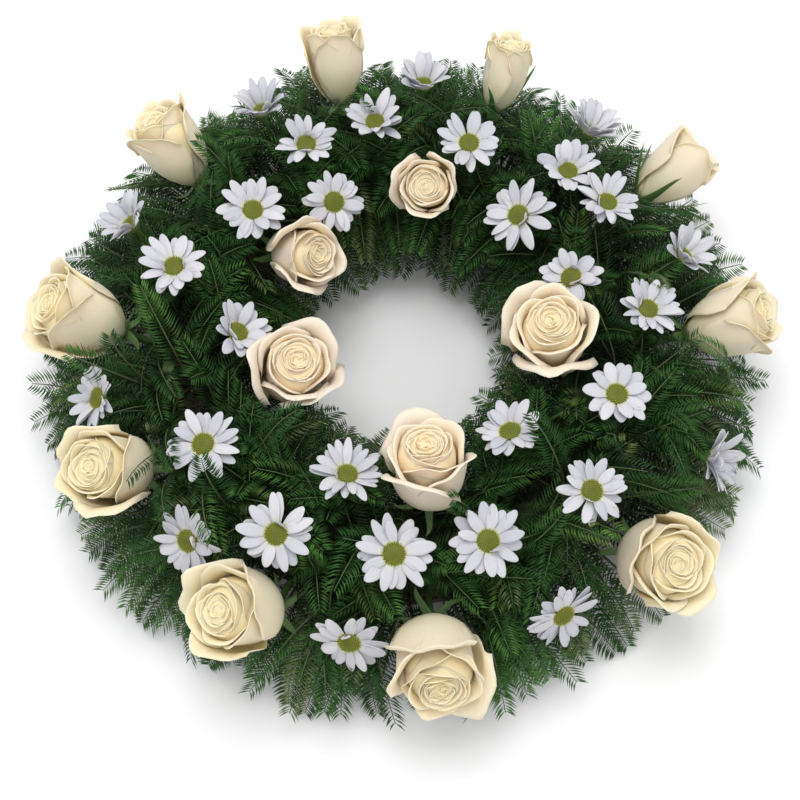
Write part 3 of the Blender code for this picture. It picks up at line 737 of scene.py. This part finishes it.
def flower_frame(centre, way, spin):
    """The origin and the three directions of a flower, its own Z along its stem."""
    turn = way.to_track_quat("Z", "Y").to_matrix() @ Matrix.Rotation(spin, 3, "Z")
    return np.array(centre), np.array(turn)


def placed(points, origin, turn):
    """Points moved from a flower's frame to the wreath's."""
    return np.asarray(points) @ turn.T + origin


def spun(points, angle, axis="Z"):
    """Points turned about an axis of their own frame."""
    return points @ np.array(Matrix.Rotation(angle, 3, axis)).T


def polar(radius, angle, height):
    """Points at a radius and an angle round the Z axis, and at a height."""
    return np.stack([radius * np.cos(angle), radius * np.sin(angle), height], axis=-1)


def smooth(value):
    """A step from 0 to 1 without a corner."""
    value = np.clip(value, 0.0, 1.0)
    return value * value * (3.0 - 2.0 * value)


def rose_petal(layer, length, half, opened, noise):
    """One petal as a grid, with the head's base at the origin: layer 0 is the innermost, 1 the
    outermost. The grid runs across the petal, and along it from its root to its rolled lip. The factors
    are shares of the head's length or half width."""
    across = np.linspace(-1.0, 1.0, OPEN_COLUMNS if layer > WHORL_SHARE else WHORL_COLUMNS)[:, None]
    body = np.concatenate([np.linspace(0.0, 1.0, BODY_ROWS), np.ones(LIP_ROWS)])[None, :]
    lip = np.concatenate([np.zeros(BODY_ROWS), np.linspace(0.2, 1.0, LIP_ROWS)])[None, :]
    inner = min(1.0, layer / WHORL_SHARE)
    outer = max(0.0, (layer - WHORL_SHARE) / (1.0 - WHORL_SHARE))
    closed = 1.0 - opened
    # Sizes: the belly's and the mouth's radius, the height, and the lip's roll and depth
    belly = half * (0.08 + (0.42 + 0.08 * closed) * inner**0.9 + 0.24 * outer**0.8)
    mouth = belly * (0.78 + 0.16 * inner + outer * (0.09 + 0.08 * opened))
    top = length * (0.90 + 0.07 * opened - 0.05 * (1.0 - inner) * closed)
    roll = (0.35 + 0.35 * inner + outer * (0.15 + 0.70 * opened)) * noise.uniform(0.8, 1.25)
    rim = half * (0.06 + 0.06 * inner + outer * (0.14 + 0.14 * opened)) * noise.uniform(0.85, 1.2)
    top = top - length * outer * (0.19 * opened - 0.05) * noise.uniform(0.8, 1.2) - rim * 0.55
    # The cup, from the root over the belly to the mouth, lower towards the side edges
    width = min(2.3, 0.20 + 0.66 * half / belly)
    root = 0.0025 + 0.0045 * layer
    angle = across * width * (0.45 + 0.55 * np.sin(math.pi / 2 * np.minimum(1.0, body * 1.4)))
    angle = angle * (1.0 - 0.10 * lip)
    crown = 1.0 - (0.13 + 0.17 * outer) * np.abs(across) ** 2.4
    full = 0.74 - 0.22 * opened
    radius = root + (belly - root) * np.sin(math.pi / 2 * np.minimum(1.0, body / full)) ** 0.8
    radius = radius + (mouth - belly) * smooth((body - 0.45) / 0.55)
    radius = radius * (1.0 + 0.07 * across)
    rise = top * body * (1.0 + (crown - 1.0) * smooth(body))
    # The lip, rolled out along an arc, with a point in its middle where the petal is open
    bend = roll * (0.80 + 0.45 * np.abs(across) ** 1.6)
    point = 0.30 * outer * opened * np.exp(-((across / 0.20) ** 2))
    reach = rim * (1.0 - 0.45 * np.abs(across) ** 2.2 + point)
    radius = radius + reach * (1.0 - np.cos(bend * lip)) / bend
    rise = rise + reach * np.sin(bend * lip) / bend
    # Side edges that stand off, and shallow waves that grow towards the lip
    edge = np.clip((np.abs(across) - 0.62) / 0.38, 0.0, 1.0) ** 2
    radius = radius + half * (0.015 + 0.06 * outer * opened) * edge * body
    phase = noise.uniform(0.0, 6.0, 4)
    late = 0.5 * body**3 + 0.5 * lip
    radius = radius + half * 0.026 * np.sin(across * 4.2 + phase[0]) * late
    rise = rise + length * 0.016 * np.sin(across * 5.5 + phase[1]) * late
    radius = radius + half * (0.008 + 0.030 * outer) * np.sin(across * 8.0 + phase[2]) * late
    rise = rise + length * 0.016 * outer * np.sin(across * 10.0 + phase[3]) * lip
    return polar(radius, angle, rise)


def rose_core(length, half, opened):
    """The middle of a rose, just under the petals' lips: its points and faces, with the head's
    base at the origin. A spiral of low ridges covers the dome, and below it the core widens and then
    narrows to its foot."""
    angle = math.tau * np.arange(CORE_SIDES)[None, :] / CORE_SIDES
    share = np.linspace(0.02, 1.0, CORE_RINGS)
    wide = np.concatenate([0.41 * share, SKIRT_WIDTHS])[:, None]
    tall = np.concatenate([0.88 - 0.03 * share**2, SKIRT_HEIGHTS])[:, None]
    ridged = np.concatenate([share**0.3, np.zeros(len(SKIRT_WIDTHS))])[:, None]
    turning = np.concatenate([share, np.ones(len(SKIRT_WIDTHS))])[:, None] * CORE_WIND
    reach = half * (wide + 0.08 * (1.0 - opened) * wide / 0.6) * (1.0 + 0.04 * np.sin(angle * 3.0))
    ridges = 0.014 * ridged * np.sin(angle - turning)
    rise = length * (tall + 0.07 * opened * np.minimum(1.0, tall / 0.8) + ridges)
    points = polar(reach, angle, rise)
    index = np.arange(points.shape[0] * CORE_SIDES).reshape(-1, CORE_SIDES)
    after = np.roll(index, -1, axis=1)
    walls = np.stack([index[:-1], index[1:], after[1:], after[:-1]], axis=-1).reshape(-1, 4)
    return points.reshape(-1, 3), [walls, index[:1], index[-1:, ::-1]]


def rose_piece(number, finishes):
    """One rose: petals round a tight bud, the hip with its five sepals, and the stem."""
    base, head = rose_head(number)
    centre, way, away = rose_line(number)
    length, half, opened = ROSES[number - 1][3:]
    noise = np.random.default_rng(SEED + 300 + number)
    origin, turn = flower_frame(base, head, noise.uniform(0.0, math.tau))
    build = Build()
    for petal in range(ROSE_PETALS):
        layer = petal / (ROSE_PETALS - 1)
        grid = rose_petal(layer, length, half, opened, noise)
        grid = spun(grid, petal * GOLDEN_ANGLE + noise.normal(0.0, 0.10))
        grid = spun(grid, noise.normal(0.0, 0.022), "X")
        thick = np.full(grid.shape[:2], PETAL_THICKNESS - OUTER_THINNER * layer)
        thick[[0, -1], :] = EDGE_THICKNESS
        thick[:, -1] = EDGE_THICKNESS
        build.add_petal(placed(grid, origin, turn), thick, layer, ROSE_TINTS[number - 1])
    points, faces = rose_core(length, half, opened)
    build.add(placed(points, origin, turn), faces, PETAL, 0.12, 0.7, 0.0, ROSE_TINTS[number - 1])
    rose_green(build, number, np.array(centre), np.array(way), away, origin, turn)
    name = f"rose_{number:02d}"
    build.piece(name + "_bloom", finishes, "rose_cream", name)


def rose_green(build, number, centre, way, away, origin, turn):
    """A rose's stem, bent at the neck, its hip and its five sepals."""
    length, half = ROSES[number - 1][3:5]
    head = turn[:, 2]
    share = np.linspace(0.0, 1.0, STALK_POINTS)[:, None]
    stalk = centre + way * (STEM_END + (away - STALK_END - STEM_END) * share)
    neck = [origin - (way + head) * 0.004, origin - head * 0.0015, origin + head * 0.0018]
    path = np.concatenate([stalk, neck])
    points, faces = sweep(path, STALK_RADII, level_sides(path, turn[:, 0]), FLOWER_SIDES)
    build.add(points, faces, ROSE_GREEN, 0.4, 0.5)
    for sepal in range(SEPALS):
        across = np.linspace(-1.0, 1.0, SEPAL_COLUMNS)[:, None]
        along = np.linspace(0.0, 1.0, SEPAL_ROWS)[None, :]
        out = SEPAL_ROOT + half * 0.62 * along**1.1 + 0.003 * np.sin(along * 3.0)
        side = across * 0.0036 * (1.0 - along) ** 0.7 + 0.003 * np.sin(along * 3.5 + sepal * 2.0) * along
        rise = -0.0012 - 0.006 * np.sin(along * 2.6) + 0.008 * along**2 * (sepal % 3 - 1)
        if number in LONG_SEPALS:
            out = SEPAL_ROOT + half * 0.90 * np.sin(math.pi / 2 * along) + 0.008 * along**3
            rise = -0.0012 + length * (0.50 + 0.06 * (sepal % 3)) * along
        grid = spun(np.stack(np.broadcast_arrays(out, side, rise), axis=-1), sepal * math.tau / SEPALS)
        points, faces = shell(placed(grid, origin, turn), SEPAL_THICKNESS)
        build.add(points, faces, ROSE_GREEN, 0.6, 0.8)


def level_sides(path, first):
    """Directions square to a path, each as near as can be to the one before."""
    ways = unit(np.gradient(path, axis=0))
    sides, last = [], np.asarray(first)
    for ahead in ways:
        last = unit(last - ahead * np.dot(last, ahead))
        sides.append(last)
    return np.array(sides)


def daisy_petal(long, wide, lean, droop, twist, noise):
    """One petal as a grid with its root on the disc's rim, pointing along X, Z up."""
    across = np.linspace(-1.0, 1.0, DAISY_PETAL_COLUMNS)[:, None]
    along = np.array(DAISY_PETAL_ROWS)[None, :]
    width = wide * (0.50 + 0.50 * np.sin(math.pi / 2 * np.minimum(1.0, along / 0.55)) ** 1.3)
    width = width * np.sqrt(1.0 - np.clip((along - 0.45) / 0.56, 0.0, 1.0) ** 2.0)
    steepness = lean * (1.12 - 0.24 * along) - droop * along
    reach = long * along * np.cos(steepness)
    rise = long * along * np.sin(steepness)
    groove = 0.00060 * np.cos(across * math.pi * 1.5) * np.sin(math.pi * along)
    hollow = 0.16 * width * across**2
    bend = twist * along
    side = width * across * np.cos(bend)
    lift = groove + hollow + width * across * np.sin(bend)
    swing = long * 0.05 * noise.normal() * along**2
    reach = reach - lift * np.sin(steepness)
    rise = rise + lift * np.cos(steepness)
    return np.stack([reach, side + swing, rise], axis=-1)


def daisy_piece(number, spec, finishes):
    """One daisy: two ranks of petals, the disc with its florets, the green cup and the stem."""
    centre, way, away = daisy_line(spec)
    half, cup = spec[3:]
    noise = np.random.default_rng(SEED + 600 + number)
    origin, turn = flower_frame(centre, way, noise.uniform(0.0, math.tau))
    build = Build()
    broad = noise.uniform(*DAISY_PETAL_WIDTHS)
    count = round(DAISY_PETALS_ROUND / broad)
    root = DAISY_DISC_RADIUS * 0.80
    for petal in range(count):
        inner = petal % 2
        long = half * noise.uniform(0.80, 1.04) - root * math.cos(cup)
        lean = cup + 0.12 * inner + noise.normal(0.0, 0.12)
        droop = noise.uniform(0.02, 0.25) * (1.0 - 0.5 * cup)
        if noise.random() < CURLED_SHARE:
            long, lean, droop = long * 0.45, 1.15, -0.3
        wide = broad * noise.uniform(0.80, 1.15)
        grid = daisy_petal(long, wide, lean, droop, noise.normal(0.0, 0.32), noise)
        grid = grid + [root, 0.0, away - 0.0018 + 0.0010 * inner]
        grid = spun(grid, math.tau * petal / count + noise.normal(0.0, 0.10))
        build.add_petal(placed(grid, origin, turn), DAISY_PETAL_THICKNESS, noise.random())
    daisy_disc(build, away, origin, turn, noise)
    heights = [STEM_END] + [away - depth for depth in CUP_DEPTHS]
    path = placed([(0.0, 0.0, height) for height in heights], origin, turn)
    points, faces = sweep(path, CUP_RADII, np.tile(turn[:, 0], (len(path), 1)), FLOWER_SIDES)
    build.add(points, faces, DAISY_GREEN, 0.4, 0.4)
    name = f"daisy_{number + 1:02d}"
    build.piece(name + "_bloom", finishes, "daisy_white", name)


def daisy_disc(build, away, origin, turn, noise):
    """The disc: a dome with a spiral of florets."""
    rows = np.linspace(0.0, 1.0, 5)
    heights = away + DAISY_DISC_RISE * 0.8 * np.sin(rows * math.pi / 2) - 0.001
    radii = DAISY_DISC_RADIUS * np.cos(rows * math.pi / 2 * 0.97)
    path = placed([(0.0, 0.0, height) for height in heights], origin, turn)
    points, faces = sweep(path, radii, np.tile(turn[:, 0], (len(path), 1)), 12)
    build.add(points, faces, DISC, 0.2, 0.0)
    index = np.arange(FLORETS)
    spread = np.sqrt((index + 0.5) / FLORETS)
    angle = index * GOLDEN_ANGLE
    radius = DAISY_DISC_RADIUS * spread
    rise = away - 0.001 + DAISY_DISC_RISE * 0.8 * np.sqrt(np.clip(1.0 - spread**2, 0.0, 1.0))
    centres = polar(radius, angle, rise)
    aside = [np.cos(angle) * spread * FLORET_LEAN, np.sin(angle) * spread * FLORET_LEAN]
    lean = unit(np.stack([*aside, np.ones(FLORETS)], axis=-1))
    size = FLORET_RADIUS * noise.uniform(0.85, 1.15, FLORETS)
    tall = size * np.where(spread > 0.72, 2.6, 1.5)
    sideways = unit(np.cross(lean, [0.3, 0.9, 0.1]))
    other = np.cross(lean, sideways)
    # Each floret has a foot ring, an upper ring and a tip
    each = 2 * FLORET_SIDES + 1
    points = np.empty((FLORETS, each, 3))
    for corner in range(FLORET_SIDES):
        bend = math.tau * corner / FLORET_SIDES
        out = sideways * math.cos(bend) + other * math.sin(bend)
        points[:, corner] = centres + out * size[:, None]
        upper = centres + out * size[:, None] * 0.75 + lean * tall[:, None] * 0.75
        points[:, corner + FLORET_SIDES] = upper
    points[:, -1] = centres + lean * tall[:, None]
    first = index[:, None] * each
    corners = [(k, (k + 1) % FLORET_SIDES) for k in range(FLORET_SIDES)]
    walls = np.concatenate([first + [k, n, FLORET_SIDES + n, FLORET_SIDES + k] for k, n in corners])
    tops = np.concatenate([first + [FLORET_SIDES + k, FLORET_SIDES + n, each - 1] for k, n in corners])
    along = np.tile([0.0] * FLORET_SIDES + [0.7] * FLORET_SIDES + [1.0], FLORETS)
    points = placed(points.reshape(-1, 3), origin, turn)
    build.add(points, [walls, tops], DISC, np.repeat(spread, each), along)


def straw_piece(finishes):
    """The straw ring: a ribbed tube of straw, loose straws on it, and the twine wound round it."""
    build = Build()
    noise = np.random.default_rng(SEED + 900)
    theta = math.tau * np.arange(STRAW_SLICES)[:, None] / STRAW_SLICES
    phi = math.tau * np.arange(STRAW_SIDES)[None, :] / STRAW_SIDES
    relief = sum(
        STRAW_WAVE_HEIGHT * np.sin(phi * round_tube + theta * round_ring + noise.uniform(0, 6))
        for round_tube, round_ring in STRAW_WAVES
    )
    relief = relief + 0.0005 * np.sin(phi * 5 + theta * 11) - 0.0012
    points = tube_surface(theta, phi, relief)
    index = np.arange(STRAW_SLICES * STRAW_SIDES).reshape(STRAW_SLICES, STRAW_SIDES)
    after, beside = np.roll(index, -1, axis=0), np.roll(index, -1, axis=1)
    both = np.roll(after, -1, axis=1)
    walls = np.stack([index, after, both, beside], axis=-1).reshape(-1, 4)
    tones = np.repeat(noise.random(STRAW_SLICES), STRAW_SIDES)
    build.add(points.reshape(-1, 3), [walls], STRAW, tones, 0.5)
    for _ in range(LOOSE_STRAWS):
        start, side = noise.uniform(0, math.tau), noise.uniform(0, math.tau)
        reach, slant = noise.uniform(0.25, 0.6), noise.normal(0.0, 0.25)
        share = np.linspace(0.0, 1.0, LOOSE_STRAW_POINTS)
        lift = 0.0004 + 0.0010 * np.sin(math.pi * share) * noise.random()
        theta, phi = start + reach * share, side + slant * share
        path = tube_surface(theta, phi, lift - 0.0006, STRAND_LOWEST)
        out = tube_surface(theta, phi, lift + OUTSIDE) - path
        radii = np.full(LOOSE_STRAW_POINTS, noise.uniform(*LOOSE_STRAW_RADII))
        stick, faces = sweep(path, radii, unit(out), 3)
        build.add(stick, faces, STRAW, noise.random(), 0.9)
    share = np.linspace(0.0, 1.0, TWINE_TURNS * TWINE_STEPS)
    theta, phi = share * math.tau * TWINE_SPAN, share * math.tau * TWINE_TURNS
    path = tube_surface(theta, phi, 0.0002, STRAND_LOWEST)
    out = tube_surface(theta, phi, OUTSIDE) - path
    twine, faces = sweep(path, np.full(len(share), TWINE_RADIUS), unit(out), 4)
    build.add(twine, faces, TWINE, 0.5, 0.5)
    build.piece("straw_ring_wound", finishes, "straw", "straw_ring")


def tube_surface(theta, phi, lift, low=0.0004):
    """Points of the straw tube's surface, raised by a lift, none of them under a height."""
    theta, phi, lift = np.broadcast_arrays(theta, phi, lift)
    radius = RING_RADIUS + (TUBE_HALF_WIDTH + lift) * np.cos(phi)
    height = TUBE_CENTRE_Z + (TUBE_HALF_HEIGHT + lift) * np.sin(phi)
    return polar(radius, theta, np.maximum(height, low))


class Finish:
    """A procedural material under construction."""

    def __init__(self, name, roughness):
        self.made = bpy.data.materials.new(name)
        self.made.use_nodes = True
        self.tree = self.made.node_tree
        self.shader = self.tree.nodes["Principled BSDF"]
        self.shader.inputs["Roughness"].default_value = roughness

    def node(self, kind, links=(), **settings):
        """A node with its settings, each of its inputs given a value or linked to an output."""
        made = self.tree.nodes.new(kind)
        for key, value in settings.items():
            setattr(made, key, value)
        for socket, source in links:
            if isinstance(source, (int, float, tuple)):
                made.inputs[socket].default_value = source
            else:
                self.tree.links.new(source, made.inputs[socket])
        return made

    def mark(self, title):
        """One of the values that the points carry."""
        return self.node("ShaderNodeAttribute", attribute_name=title).outputs["Fac"]

    def ramp(self, source, stops):
        """Colours along a value, or along a mark by its title: stops are pairs of a place and a linear
        colour or a grey."""
        if isinstance(source, str):
            source = self.mark(source)
        made = self.node("ShaderNodeValToRGB", [(0, source)])
        band = made.color_ramp
        while len(band.elements) < len(stops):
            band.elements.new(0.5)
        for element, (place, colour) in zip(band.elements, stops):
            element.position = place
            element.color = (*(colour if isinstance(colour, tuple) else (colour,) * 3), 1.0)
        return made.outputs["Color"]

    def mix(self, factor, one, two, blend="MIX"):
        """Two colours mixed by a factor: each of the three is a value, a colour or an output."""
        one, two = ((*part, 1.0) if isinstance(part, tuple) else part for part in (one, two))
        links = [(0, factor), (6, one), (7, two)]
        return self.node("ShaderNodeMix", links, data_type="RGBA", blend_type=blend).outputs[2]

    def noise(self, scale):
        """Cloudy noise as a value."""
        return self.node("ShaderNodeTexNoise", [("Scale", scale), ("Detail", 3.0)]).outputs["Fac"]

    def veins(self, scale, distortion, detail, sway=0.0):
        """Lines along a petal as a value."""
        wave = [("Scale", scale), ("Distortion", distortion), ("Detail", detail)]
        place = self.node("ShaderNodeCombineXYZ", [("X", self.mark("across")), ("Y", sway)])
        return self.node("ShaderNodeTexWave", [*wave, ("Vector", place.outputs[0])]).outputs["Fac"]

    def colour(self, source):
        """Colours the surface."""
        self.tree.links.new(source, self.shader.inputs["Base Color"])

    def bump(self, source, strength, distance):
        """Roughens the surface by a value."""
        inputs = [("Height", source), ("Strength", strength), ("Distance", distance)]
        made = self.node("ShaderNodeBump", inputs)
        self.tree.links.new(made.outputs["Normal"], self.shader.inputs["Normal"])

    def petal_light(self, weight, radius, scale):
        """Lets light spread under a petal's surface and dulls its shine."""
        for key, value in (("Weight", weight), ("Radius", radius), ("Scale", scale)):
            self.shader.inputs[f"Subsurface {key}"].default_value = value
        self.shader.inputs["Specular IOR Level"].default_value = 0.3


def needle_finish():
    """Fir needles: darker towards the foot of a spray, partly as older needles and partly as painted shade,
    with painted shade deep in the wreath, fresh towards the tip, each spray with a tone of its own, a few
    of them olive or silvery."""
    made = Finish("fir needle", 0.45)
    greens = [
        (0.0, (0.016, 0.060, 0.014)),
        (0.40, (0.028, 0.092, 0.020)),
        (0.70, (0.045, 0.135, 0.028)),
        (0.86, (0.070, 0.185, 0.036)),
        (0.93, (0.120, 0.150, 0.040)),
        (1.0, (0.150, 0.200, 0.120)),
    ]
    tone = made.ramp("tone", greens)
    # Partly real and partly painted shade: needles darken towards the spray's foot, as older needles and as
    # painted shade where the foot lies deep under the other sprays, and the tips are fresh and lighter
    age_and_foot_shade = made.ramp("across", [(0.0, 0.22), (0.45, 0.7), (1.0, (1.15, 1.15, 1.0))])
    # Painted shade: darker deep in the wreath, near the straw, where shade falls
    depth = made.ramp("tint_and_depth_shade", [(0.0, 0.12), (0.5, 0.60), (1.0, (1.15, 1.15, 1.05))])
    aged_and_shaded = made.mix(1.0, made.mix(1.0, tone, age_and_foot_shade, "MULTIPLY"), depth, "MULTIPLY")
    foot = made.mix(made.ramp("along", [(0.0, 0.25), (1.0, 0.0)]), aged_and_shaded, (0.035, 0.075, 0.016))
    patch = made.ramp(made.noise(60.0), [(0.40, 0.0), (0.68, 0.55)])
    made.colour(made.mix(patch, foot, (0.014, 0.048, 0.012)))
    made.shader.inputs["Specular IOR Level"].default_value = 0.15
    return made.made


def twig_finish():
    """Twigs: brown and woody at the foot, dull green towards the tip."""
    made = Finish("fir twig", 0.6)
    browns = [
        (0.0, (0.050, 0.030, 0.015)),
        (0.25, (0.050, 0.055, 0.020)),
        (0.6, (0.055, 0.095, 0.025)),
        (1.0, (0.065, 0.135, 0.032)),
    ]
    body = made.ramp("along", browns)
    patch = made.ramp(made.noise(200.0), [(0.3, 0.0), (0.7, 0.5)])
    made.colour(made.mix(patch, body, (0.040, 0.060, 0.018)))
    made.bump(made.noise(900.0), 0.4, 0.0003)
    return made.made


def rose_finish():
    """Rose petals: peach cream or yellow cream, warmer towards the heart, greenish at the foot, paler
    at the lip."""
    made = Finish("rose petal", 0.5)
    peaches = [(0.0, (0.82, 0.65, 0.40)), (0.45, (0.82, 0.70, 0.53)), (1.0, (0.82, 0.70, 0.58))]
    yellows = [(0.0, (0.82, 0.70, 0.42)), (0.45, (0.82, 0.73, 0.51)), (1.0, (0.81, 0.71, 0.51))]
    layer = made.mix(made.mark("tint_and_depth_shade"), made.ramp("tone", peaches), made.ramp("tone", yellows))
    foot = made.mix(made.ramp("along", [(0.0, 1.0), (0.36, 0.0)]), layer, (0.70, 0.68, 0.39))
    lip = made.mix(made.ramp("along", [(0.85, 0.0), (1.0, 0.15)]), foot, (0.84, 0.77, 0.64))
    patch = made.ramp(made.noise(45.0), [(0.4, 0.0), (0.75, 0.25)])
    made.colour(made.mix(patch, lip, (0.81, 0.62, 0.41)))
    made.bump(made.veins(26.0, 2.0, 2.0, made.noise(30.0)), 0.10, 0.0004)
    made.petal_light(0.5, (1.0, 0.80, 0.50), 0.0016)
    return made.made


def daisy_finish():
    """Daisy petals: white with a touch of lavender, yellow-green at the foot, with painted grey-lavender
    shade in the grooves along them.
    """
    made = Finish("daisy petal", 0.5)
    body = made.ramp("tone", [(0.0, (0.53, 0.53, 0.58)), (1.0, (0.68, 0.67, 0.70))])
    foot = made.mix(made.ramp("along", [(0.0, 1.0), (0.22, 0.0)]), body, (0.70, 0.74, 0.42))
    veins = made.veins(1.6, 0.6, 1.0)
    # Painted shade: the wave lines that bump the grooves also darken them to grey-lavender, as shade in the
    # grooves
    made.colour(made.mix(made.ramp(veins, [(0.0, 0.45), (0.4, 0.0)]), foot, (0.38, 0.38, 0.45)))
    made.bump(veins, 0.35, 0.0003)
    made.petal_light(0.2, (0.8, 0.8, 1.0), 0.003)
    return made.made


def disc_finish():
    """The daisy's disc: olive green in the middle, yellower at the rim, with painted shade low between the
    florets.
    """
    made = Finish("daisy disc", 0.6)
    greens = [(0.0, (0.14, 0.17, 0.010)), (0.6, (0.24, 0.27, 0.015)), (1.0, (0.40, 0.39, 0.030))]
    tone = made.ramp("tone", greens)
    # Painted shade: the dome and the florets' feet are mixed towards dark olive, as shade between the
    # florets, and the florets lighten towards their tips
    made.colour(made.mix(made.mark("along"), made.mix(0.55, tone, (0.06, 0.08, 0.005)), tone))
    return made.made


def green_finish():
    """Stems, cups, hips and sepals: matt mid green."""
    made = Finish("stem green", 0.55)
    made.colour(made.ramp(made.noise(120.0), [(0.3, (0.060, 0.130, 0.030)), (0.7, (0.110, 0.200, 0.050))]))
    made.bump(made.noise(500.0), 0.3, 0.0003)
    return made.made


def straw_finish():
    """Straw: brown with tones that vary, darkened well below straw's own colour as painted shade, so the
    ring reads as the dark depth under the fir.
    """
    made = Finish("straw", 0.8)
    # Painted shade: these browns are kept very dark so the straw stands for the shaded depth under the fir
    browns = [(0.0, (0.028, 0.021, 0.013)), (0.5, (0.055, 0.041, 0.024)), (1.0, (0.13, 0.098, 0.055))]
    tone = made.ramp("tone", browns)
    patch = made.ramp(made.noise(90.0), [(0.3, 0.0), (0.7, 0.7)])
    made.colour(made.mix(patch, tone, (0.022, 0.018, 0.011)))
    made.bump(made.noise(700.0), 0.5, 0.0004)
    return made.made


def twine_finish():
    """The dark twine that binds the straw."""
    made = Finish("twine", 0.7)
    made.colour(made.ramp(made.noise(400.0), [(0.3, (0.030, 0.050, 0.025)), (0.7, (0.060, 0.085, 0.040))]))
    return made.made


def floor_and_light():
    """A plain pale floor and soft light from above."""
    bpy.ops.mesh.primitive_plane_add(size=FLOOR_SIZE, location=(0.0, 0.0, 0.0))
    floor = bpy.context.object
    floor.name = "floor"
    pale = Finish("floor", FLOOR_ROUGHNESS)
    pale.shader.inputs["Base Color"].default_value = FLOOR_COLOUR
    floor.data.materials.append(pale.made)
    world = bpy.data.worlds.new("studio")
    world.use_nodes = True
    sky = world.node_tree.nodes["Background"].inputs
    sky["Color"].default_value = SKY_COLOUR
    sky["Strength"].default_value = SKY_STRENGTH
    bpy.context.scene.world = world
    for name, place, size, power in LAMPS:
        lamp = bpy.data.lights.new(name, "AREA")
        lamp.size, lamp.energy = size, power
        made = bpy.data.objects.new(name, lamp)
        made.location = place
        made.rotation_euler = (-Vector(place)).to_track_quat("-Z", "Y").to_euler()
        bpy.context.scene.collection.objects.link(made)
    bpy.context.scene.view_settings.view_transform = "Standard"


def camera():
    """The camera at the picture's viewpoint."""
    data = bpy.data.cameras.new("camera")
    data.sensor_width = SENSOR_MM
    data.lens = FOCAL_PX * SENSOR_MM / PICTURE_PX
    made = bpy.data.objects.new("camera", data)
    made.location = EYE + Vector(OFFSET)
    made.rotation_euler = (AIM - EYE).to_track_quat("-Z", "Y").to_euler()
    bpy.context.scene.collection.objects.link(made)
    bpy.context.scene.camera = made


def main():
    camera()
    floor_and_light()
    room = flower_room()
    green = green_finish()
    straw_piece([straw_finish(), twine_finish()])
    fir = [needle_finish(), twig_finish()]
    for number, bunch in enumerate(main_sprays(room)):
        bunch_piece(number, bunch, room, fir)
    rose = [rose_finish(), green]
    for number in range(1, len(ROSES) + 1):
        rose_piece(number, rose)
    daisy = [daisy_finish(), disc_finish(), green]
    for number, spec in enumerate(DAISIES):
        daisy_piece(number, spec, daisy)


main()
